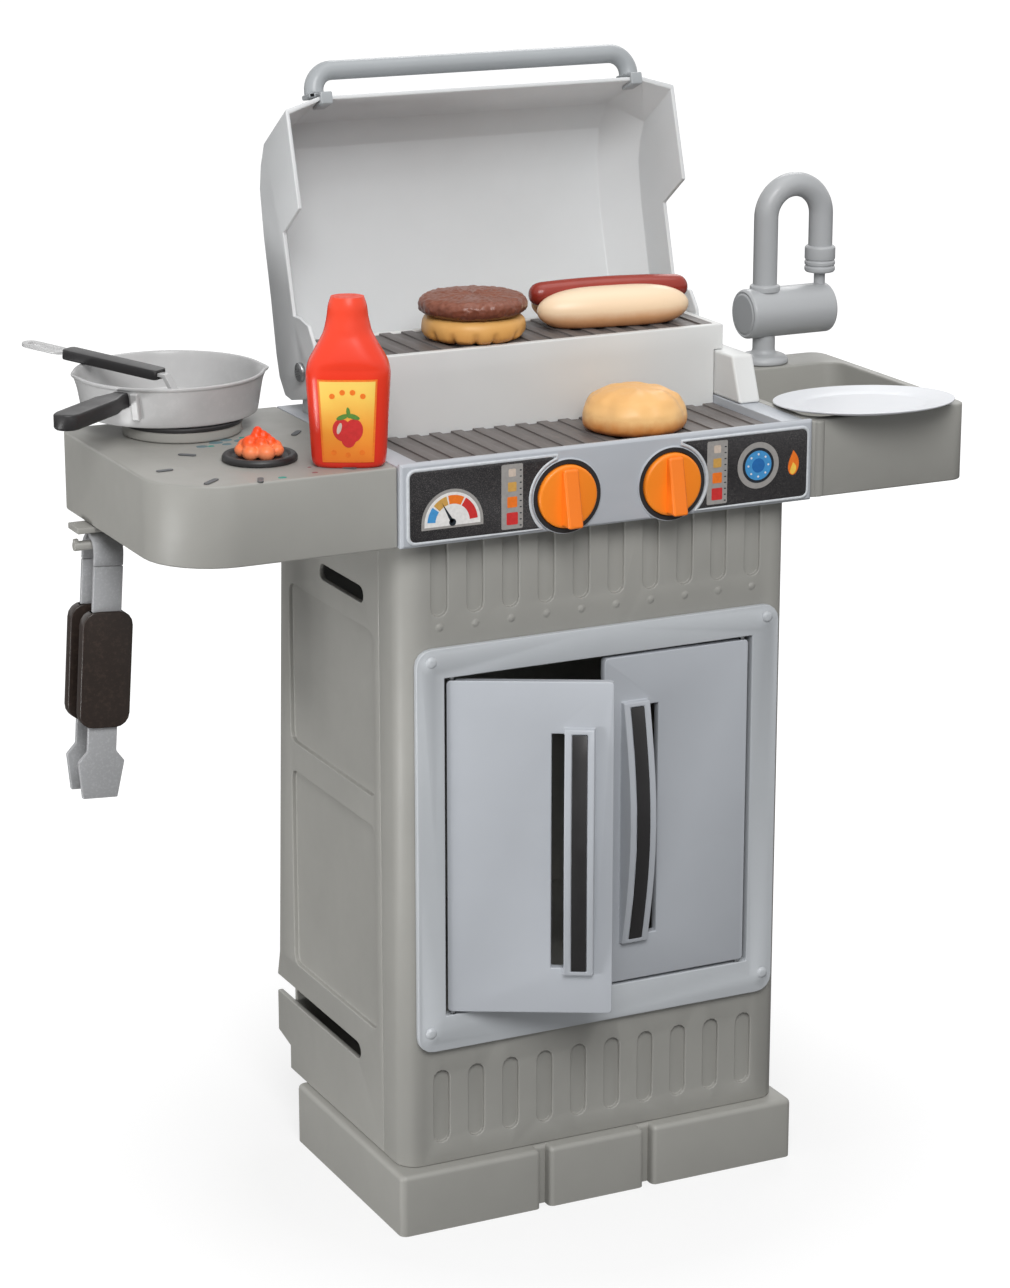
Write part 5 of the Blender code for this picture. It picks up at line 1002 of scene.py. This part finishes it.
LABEL_FRONT = -23
INK_LAYER = 0.12
INK_DEPTH = 0.2
LEFT_LABEL = "label_plate_left"
RIGHT_LABEL = "label_plate_right"
GAUGE = (-143, 613.5)
GAUGE_BAND = (15, 22)
NEEDLE = ((-144.2, 612.5), (-141.8, 614.6), (-152.4, 630.4))
STRIPS = (("left", -90.5, LEFT_LABEL), ("right", 96, RIGHT_LABEL))
STRIP_HALF_WIDTH = 9.5
STRIP_LOW = 602
STRIP_HIGH = 655
# Tone, height and half size of the squares on a strip
LEVELS = (("pale", 648, 3.2), ("ochre", 636.5, 3.8), ("orange", 624, 4.4), ("red", 610.5, 5))
DIAL = (134.5, 630.5)


def sector(centre, band, start, end, steps=24):
    """A piece of a flat ring between two angles."""
    inner, outer = band
    points = circle_points(centre, outer, start, end, steps)
    return points + circle_points(centre, inner, end, start, steps)


def half_disc(centre, radius, foot):
    """The upper half of a disc on a straight foot of a height."""
    x, z = centre
    return circle_points(centre, radius, 0, 180, 24) + [(x - radius, z - foot), (x + radius, z - foot)]


def drop(x, z, half, height):
    """A flame's outline with a leaning tip."""
    points = []
    for i in range(41):
        angle = math.radians(-90 + 360 * i / 41)
        up = (math.sin(angle) + 1) / 2
        thin = math.cos(angle) * (1 - up) ** 0.55 * (0.35 + up) ** 0.3 * 1.25
        points.append((x + half * thin + 1.6 * math.sin(up * 3) * up, z + height * up))
    return points


def ink(name, outlines, layer, finish, label):
    """Print on a label, one layer above the next."""
    proud = INK_LAYER * layer
    place = Matrix.Translation(at(0, LABEL_FRONT - proud, 0))
    shapes = [moved(slab(outline, INK_DEPTH + proud), place) for outline in outlines]
    trim(name, joined(*shapes), label, finish, angle=30)


ink("gauge_rim", [half_disc(GAUGE, 27, 4.5)], 1, "print_silver", LEFT_LABEL)
ink("gauge_face", [half_disc(GAUGE, 24.4, 2.5)], 2, "print_white", LEFT_LABEL)
for tone, start, end in (("red", 4, 58), ("orange", 62, 100), ("ochre", 104, 138), ("blue", 142, 176)):
    ink("gauge_" + tone, [sector(GAUGE, GAUGE_BAND, start, end)], 3, "print_" + tone, LEFT_LABEL)
ink("gauge_needle", [NEEDLE, circle_points(GAUGE, 3, steps=24)], 4, "print_dark", LEFT_LABEL)

for side, x, label in STRIPS:
    strip = rounded_points((x - STRIP_HALF_WIDTH, STRIP_LOW), (x + STRIP_HALF_WIDTH, STRIP_HIGH), 1.5)
    ink("level_strip_" + side, [strip], 1, "print_silver", label)
    for tone, z, half in LEVELS:
        square = rounded_points((x - half, z - half), (x + half, z + half), 1)
        ink(f"level_{tone}_{side}", [square], 2, "print_" + tone, label)
    ticks = [rounded_points((x + 6.6, z), (x + 8.4, z + 1), 0.4) for z in range(604, 650, 5)]
    ink("level_ticks_" + side, ticks, 2, "print_dark", label)

ink("dial_ring", [circle_points(DIAL, 19.5)], 1, "print_silver", RIGHT_LABEL)
ink("dial_groove", [circle_points(DIAL, 14.8)], 2, "print_dark", RIGHT_LABEL)
ink("dial_blue", [circle_points(DIAL, 12.4)], 3, "print_blue", RIGHT_LABEL)
ink("dial_middle", [circle_points(DIAL, 6)], 4, "print_deep_blue", RIGHT_LABEL)
dots = [circle_points(centre, 0.9, steps=12) for centre in circle_points(DIAL, 9.4, steps=8)]
ink("dial_dots", dots, 4, "print_white", RIGHT_LABEL)
ink("fire_mark", [drop(167.5, 619, 6, 21)], 1, "print_orange", RIGHT_LABEL)
ink("fire_mark_core", [drop(167.3, 619.8, 3.2, 10)], 2, "print_yellow", RIGHT_LABEL)


# Faucet

FAUCET = (273, 209)
OUTLET = (329, 209)
BARREL_HEIGHT = 706
FOOT_PROFILE = (
    (0, 646), (9, 646), (9, ON_WORKTOP), (22, ON_WORKTOP), (22, 665.2), (19, 668.4), (11.6, 669.8),
    (10, 672.5), (10, 684.4), (8, 690), (0, 690),
)
BARREL_PROFILE = (
    (0, 251), (17, 251), (18.4, 252.2), (20, 251.4), (22, 253.6), (22, 335), (19.6, 337), (0, 337),
)
CUFF_PROFILE = ((0, 725), (13.4, 725), (13.4, 730.2), (10.4, 731.6), (0, 731.6))
SPRAY_PROFILE = (
    (0, 738.4), (12.4, 738.4), (13.6, 740), (13.6, 743), (12.7, 743.5), (12.7, 744.6), (13.6, 745.1),
    (13.6, 748), (12.7, 748.5), (12.7, 749.6), (13.6, 750.1), (13.6, 760.4), (12, 762), (0, 762),
)
ROD_PROFILE = ((0, 719), (5, 719), (5, 739), (0, 739))
SPOUT_BEND = 28
SPOUT_SPRING = 790.3
SPOUT_LOW = 716
SPOUT_STRAIGHT = 760
SPOUT_END = 747


def spout_shape():
    """The arched pipe from the barrel over to the outlet."""
    start, y = FAUCET
    arch = circle_points((start + SPOUT_BEND, SPOUT_SPRING), SPOUT_BEND, 180, 0, 40)
    route = [(start, SPOUT_LOW), (start, SPOUT_STRAIGHT)] + arch + [(OUTLET[0], SPOUT_END)]
    return round_bar([(x, y, z) for x, z in route], radius=10.7, round_steps=10)


stands_for("faucet_foot", upright(FOOT_PROFILE, 2.4, FAUCET), "faucet_base", "faucet_grey", angle=60)
barrel = turned(soft_profile(BARREL_PROFILE, 1.8), (0, FAUCET[1], BARREL_HEIGHT), "X")
stands_for("mixer_drum", barrel, "mixer_barrel", "faucet_grey", angle=50)
stands_for("swan_neck", spout_shape(), "spout", "faucet_grey", angle=60)
trim("neck_cuff", upright(CUFF_PROFILE, 1, FAUCET), "mixer_barrel", "faucet_grey", angle=60)
spray = upright(SPRAY_PROFILE, 0.5, OUTLET, steps=2)
stands_for("spray_head", spray, "spray_collar", "faucet_grey", angle=50)
stands_for("outlet_rod", upright(ROD_PROFILE, 0.6, OUTLET), "spout_rod", "faucet_grey", angle=50)


# Plate, leaning a little on the basin's rim

PLATE_PLACE = (260, 18, 659.8)
PLATE_TILT = -3.9
PLATE_PROFILE = (
    (0, 0.5), (47, 0.5), (48, 0), (52, 0), (58, 1.3), (73, 4), (76.5, 5.4), (76.5, 6.5), (74.5, 6.4),
    (58, 3.9), (52, 2.2), (0, 2.2),
)


def plate_shape():
    bm = turned(soft_profile(PLATE_PROFILE, 1.4), steps=144)
    return moved(bm, placing(PLATE_PLACE, PLATE_TILT, "X"))


stands_for("dinner_plate", plate_shape(), "plate", "plate_white", angle=60)


# Sauce bottle with a plain pepper label; its own places are across, up and out from its middle

BOTTLE_PLACE = (-215.8, 12, ON_WORKTOP)
BOTTLE_TURN = -26
# Half width and height
BOTTLE_OUTLINE = (
    (26.5, 0), (28.9, 2.6), (29.6, 8), (31.4, 40), (33, 66.5), (33.2, 74.5), (31.4, 82.5), (25.4, 93),
    (19, 105), (16.3, 117), (15.3, 126.4), (13, 133),
)
SHOULDER_START = 78
SHOULDER_HEIGHT = 30
# Depth as a share of the width, and squareness
BODY = (0.62, 3.4)
NECK = (0.86, 2.1)
SECTION_STEPS = 72
LABEL_LOW = 5
LABEL_HIGH = 71
LABEL_HALF_WIDTH = 20
LABEL_WIDENS = 3.4

bottle_place = placing(BOTTLE_PLACE, BOTTLE_TURN)
bottle_levels = [(height, half) for half, height in finer(soft_profile(BOTTLE_OUTLINE, 4), 3)]


def bottle_half_width(height):
    for (low, first), (high, second) in zip(bottle_levels, bottle_levels[1:]):
        if low <= height <= high:
            return first + (second - first) * (height - low) / max(high - low, 1e-6)
    return bottle_levels[-1][1]


def bottle_section(height):
    """Half width, half depth and squareness at a height: a flat body, then a rounder neck."""
    neck = min(max((height - SHOULDER_START) / SHOULDER_HEIGHT, 0), 1)
    half = bottle_half_width(height)
    share, square = (low + (high - low) * neck for low, high in zip(BODY, NECK))
    return half, half * share, square


def bottle_shape():
    sections = []
    for height, _ in bottle_levels:
        half, deep, square = bottle_section(height)
        section = []
        for i in range(SECTION_STEPS):
            angle = math.tau * i / SECTION_STEPS
            across = math.cos(angle)
            along = math.sin(angle)
            x = half * math.copysign(abs(across) ** (2 / square), across)
            y = deep * math.copysign(abs(along) ** (2 / square), along)
            section.append(Vector((x, y, height)) * MM)
        sections.append(section)
    return moved(stacked(sections), bottle_place)


def on_bottle(x, height, proud):
    """A point on the bottle's front, in its own frame."""
    half, deep, square = bottle_section(height)
    share = min(abs(x) / half, 0.98)
    y = deep * (1 - share ** square) ** (1 / square) + proud
    return Vector((x, -y, height)) * MM


def wrapped(bm, proud):
    """A flat shape, across and up, laid on the bottle's front as a thin sheet."""
    for vert in bm.verts:
        vert.co = on_bottle(vert.co.x, vert.co.y, proud)
    bmesh.ops.recalc_face_normals(bm, faces=bm.faces)
    bmesh.ops.solidify(bm, geom=bm.faces[:], thickness=0.25 * MM)
    return moved(bm, bottle_place)


def label_sheet(inset, proud):
    """The label, widening upwards, smaller by an inset all round."""
    bm = bmesh.new()
    bmesh.ops.create_grid(bm, x_segments=20, y_segments=20, size=1)
    low = LABEL_LOW + inset
    high = LABEL_HIGH - inset
    for vert in bm.verts:
        up = (vert.co.y + 1) / 2
        half = LABEL_HALF_WIDTH + LABEL_WIDENS * up - inset
        vert.co = Vector((vert.co.x * half, low + (high - low) * up, 0))
    return wrapped(bm, proud)


def spot(x, height, across, up, turn=0):
    """An oval of print: its place, half sizes and turn."""
    bm = bmesh.new()
    bmesh.ops.create_circle(bm, cap_ends=True, cap_tris=True, segments=28, radius=1)
    size = Matrix.Diagonal((across, up, 1, 1))
    leaning = Matrix.Rotation(math.radians(turn), 4, "Z")
    return moved(bm, Matrix.Translation((x, height, 0)) @ leaning @ size)


def on_label(spots, proud, step=0.0):
    """Ovals laid on the label, each a step above the one before."""
    return joined(*(wrapped(spot(*oval), proud + step * i) for i, oval in enumerate(spots)))


PEPPER = ((-4.4, 31, 7.4, 9, 14), (4.4, 30.6, 7.4, 9.4, -10), (0.6, 25, 6, 8))
GLEAM = ((-6.6, 32.4, 1.7, 4.6, -16),)
LEAVES = ((-4, 41.5, 5, 1.9, 20), (4.6, 41.8, 5, 1.9, -20), (0.6, 45, 1.5, 4.4, 8))
BEAD_PLACES = ((-12, 58), (-4, 61), (4, 61), (12, 58), (-11, 13), (0, 11), (11, 13))
BEAD_RADIUS = 2.2
BEADS = [(x, height, BEAD_RADIUS, BEAD_RADIUS) for x, height in BEAD_PLACES]

stands_for("sauce_bottle", bottle_shape(), "bottle", "bottle_red", angle=60)
trim("bottle_label_edge", label_sheet(0, 0.3), "bottle", "print_orange")
trim("bottle_label", label_sheet(1.5, 0.45), "bottle", "label_yellow")
trim("label_pepper", on_label(PEPPER, 0.62, 0.05), "bottle", "print_red")
trim("label_gleam", on_label(GLEAM, 0.85), "bottle", "print_pale")
trim("label_leaves", on_label(LEAVES, 0.9), "bottle", "print_green")
trim("label_beads", on_label(BEADS, 0.62), "bottle", "print_orange")


# Burger, in three pieces

BUN_BASE_PLACE = (-42, 150, 722.3)
PATTY_PLACE = (-42, 150, 742.6)
BUN_TOP_PLACE = (56, 47, 655.6)
BUN_BASE_PROFILE = ((0, 0), (37, 0), (43, 3.4), (44, 9), (43, 16), (38, 20), (0, 20))
PATTY_PROFILE = ((0, 0), (40, 0), (45, 3.6), (46.2, 8), (45, 12.4), (40, 15.6), (24, 16.6), (0, 17))
BUN_TOP_PROFILE = (
    (0, 0), (37, 0), (42.6, 3), (44, 9), (43, 18), (37.5, 27), (26, 33.4), (12, 35.8), (0, 36),
)
# The angles of the notches in the lower bun and of the creases in the upper one
NOTCHES = (196, 221, 248, 271, 301, 330, 2, 34, 63, 95, 128, 160)
NOTCH_WIDTH = 3.4
NOTCH_HEIGHT = 11
CREASES = (208, 262, 322, 28, 92, 150)
CREASE_WIDTH = 11


def bun(centre, profile, change):
    """A round food piece with soft edges and an uneven surface."""
    return shaped(finer(soft_profile(profile, 3), 2.2), centre, change, 160)


def wave(angle, height, seed, rough):
    """Soft noise that closes on itself round the bun."""
    turn = math.radians(angle)
    return noise.noise(Vector((math.cos(turn) * rough, math.sin(turn) * rough, height * 0.03 + seed)))


def bun_base_change(angle, reach, height):
    rim = min(reach / 44, 1) ** 3
    notches = sum(bell(angle, middle, NOTCH_WIDTH) for middle in NOTCHES)
    low = max(0, 1 - height / NOTCH_HEIGHT)
    out = 1.6 * wave(angle, height, 3, 2.2) - 5.2 * notches * low
    return rim * out, 1.5 * notches * low * rim


def patty_change(angle, reach, height):
    rim = min(reach / 46, 1) ** 4
    ragged = 2.0 * wave(angle, height, 11, 3.6) + 1.1 * wave(angle, height, 5, 9)
    return rim * (ragged - 0.6), 0.7 * wave(angle * 3, reach, 7, 4) * (height > 8)


def bun_top_change(angle, reach, height):
    creases = sum(bell(angle, middle, CREASE_WIDTH) for middle in CREASES)
    side = min(reach / 40, 1) ** 2
    dimples = 1.5 * wave(angle, height, 2, 2.6)
    return side * (dimples - 1.3 * creases), -creases * (reach / 44) * (height > 14)


lower_bun = bun(BUN_BASE_PLACE, BUN_BASE_PROFILE, bun_base_change)
stands_for("bun_half_lower", lower_bun, "bun_base", "bun_base_gold", angle=180)
grilled = bun(PATTY_PLACE, PATTY_PROFILE, patty_change)
grilled = roughened(grilled, height=0.9, scale=330, seed=4)
stands_for("grilled_patty", grilled, "patty", "patty_brown", angle=180)
upper_bun = bun(BUN_TOP_PLACE, BUN_TOP_PROFILE, bun_top_change)
upper_bun = roughened(upper_bun, height=0.8, scale=90, seed=9)
stands_for("bun_half_upper", upper_bun, "top_bun", "bun_top_gold", angle=180)


# Hot dog, its own places measured from the middle of its roll

HOT_DOG_PLACE = (90, 155, 722.3)
HOT_DOG_TURN = -8
SAUSAGE_PLACE = (0, 5, 29)
SAUSAGE_HALF_LENGTH = 71
SAUSAGE_RADIUS = 10
SAUSAGE_SAG = 2.6
# Radius and distance from the end
SAUSAGE_END = ((0, 0), (4.5, 0.4), (8.4, 3.6), (SAUSAGE_RADIUS, 9))
# Centre, half sizes and bluntness of the roll's near half, far half and joining underside
LOBES = (
    ((-0.5, -8.6, 14.6), (68, 19, 18.8), 0.62),
    ((1, 18.6, 16.5), (66, 9.5, 20), 0.66),
    ((0, 6, 8), (62, 20, 9), 0.7),
)

hot_dog_place = placing(HOT_DOG_PLACE, HOT_DOG_TURN)


def loaf(centre, size, blunt):
    """A blunt-ended ellipsoid that stands flat."""
    bm = bmesh.new()
    bmesh.ops.create_uvsphere(bm, u_segments=64, v_segments=32, radius=1)
    for vert in bm.verts:
        x = centre[0] + size[0] * math.copysign(abs(vert.co.x) ** blunt, vert.co.x)
        y = centre[1] + size[1] * vert.co.y
        z = max(centre[2] + size[2] * vert.co.z, 0)
        vert.co = Vector((x, y, z)) * MM
    return moved(bm, hot_dog_place)


def sausage_shape():
    """A round-ended sausage whose ends hang a little."""
    half = SAUSAGE_HALF_LENGTH
    ends = [(radius, -half + along) for radius, along in SAUSAGE_END]
    profile = ends + [(radius, -along) for radius, along in reversed(ends)]
    bm = turned(finer(soft_profile(profile, 4), 3), axis="X", steps=64)
    for vert in bm.verts:
        vert.co.z -= SAUSAGE_SAG * MM * (vert.co.x / (half * MM)) ** 2
    return moved(bm, hot_dog_place @ Matrix.Translation(Vector(SAUSAGE_PLACE) * MM))


roll = melted([loaf(*lobe) for lobe in LOBES], voxel=1.4, relaxed=8)
stands_for("hot_dog_roll", roll, "hot_dog_bun", "hot_dog_cream", angle=180)
stands_for("grilled_sausage", sausage_shape(), "sausage", "sausage_red", angle=60)


# Floor, world and lamps, in metres

WHITE = (1, 1, 1, 1)


def white_floor():
    """A grey floor that keeps the shadow, and that the camera sees as white further out."""
    made = Nodes("white_floor")
    made.set(Base_Color=(0.24, 0.24, 0.24, 1.0), Roughness=0.9, Specular_IOR_Level=0.0)
    path = made.add("ShaderNodeLightPath")
    glow = made.add("ShaderNodeEmission")
    glow.inputs["Color"].default_value = WHITE
    distance = made.add("ShaderNodeVectorMath", operation="LENGTH")
    made.join(made.place, distance.inputs[0])
    level = made.span(distance.outputs["Value"], low=0.74, high=1.0, from_low=0.25, from_high=0.75)
    seen = made.add("ShaderNodeMath", operation="MULTIPLY")
    made.join(path.outputs["Is Camera Ray"], seen.inputs[0])
    made.join(level, seen.inputs[1])
    made.join(seen.outputs[0], glow.inputs["Strength"])
    both = made.add("ShaderNodeAddShader")
    made.join(made.shader.outputs[0], both.inputs[0])
    made.join(glow.outputs[0], both.inputs[1])
    made.join(both.outputs[0], made.tree.nodes["Material Output"].inputs["Surface"])


def studio_floor():
    bm = bmesh.new()
    bmesh.ops.create_grid(bm, x_segments=1, y_segments=1, size=45)
    floor = shown("studio_floor", frozen("studio_floor", bm))
    white_floor()
    floor.data.materials.append(finishes["white_floor"])


def studio_world():
    """A dim white world that the camera and glossy surfaces see as white."""
    world = bpy.data.worlds.new("studio")
    world.use_nodes = True
    bpy.context.scene.world = world
    tree = world.node_tree
    sky = tree.nodes["Background"]
    sky.inputs["Color"].default_value = WHITE
    path = tree.nodes.new("ShaderNodeLightPath")
    either = tree.nodes.new("ShaderNodeMath")
    either.operation = "MAXIMUM"
    tree.links.new(path.outputs["Is Camera Ray"], either.inputs[0])
    tree.links.new(path.outputs["Is Glossy Ray"], either.inputs[1])
    level = tree.nodes.new("ShaderNodeMapRange")
    level.inputs["To Min"].default_value = 0.34
    level.inputs["To Max"].default_value = 1.0
    tree.links.new(either.outputs[0], level.inputs["Value"])
    tree.links.new(level.outputs["Result"], sky.inputs["Strength"])


def lamp(name, place, target, size, power):
    """A round lamp at a place that shines at a target."""
    light = bpy.data.lights.new(name, "AREA")
    light.shape = "DISK"
    light.size = size
    light.energy = power
    hung = shown(name, light)
    hung.location = place
    hung.rotation_euler = (Vector(target) - Vector(place)).to_track_quat("-Z", "Y").to_euler()


studio_floor()
studio_world()
lamp("key", place=(-1.0, -2.6, 2.75), target=(0, 0, 0.6), size=1.8, power=82)
lamp("top", place=(0.3, -0.3, 2.8), target=(0, 0, 0.6), size=1.6, power=11.5)
lamp("back_fill", place=(1.3, 1.8, 2.4), target=(0, 0, 0.5), size=1.4, power=15)
lamp("side_fill", place=(-1.7, -0.2, 0.07), target=(-0.18, 0, 0.4), size=0.5, power=17)

bpy.context.scene.view_settings.view_transform = "Standard"
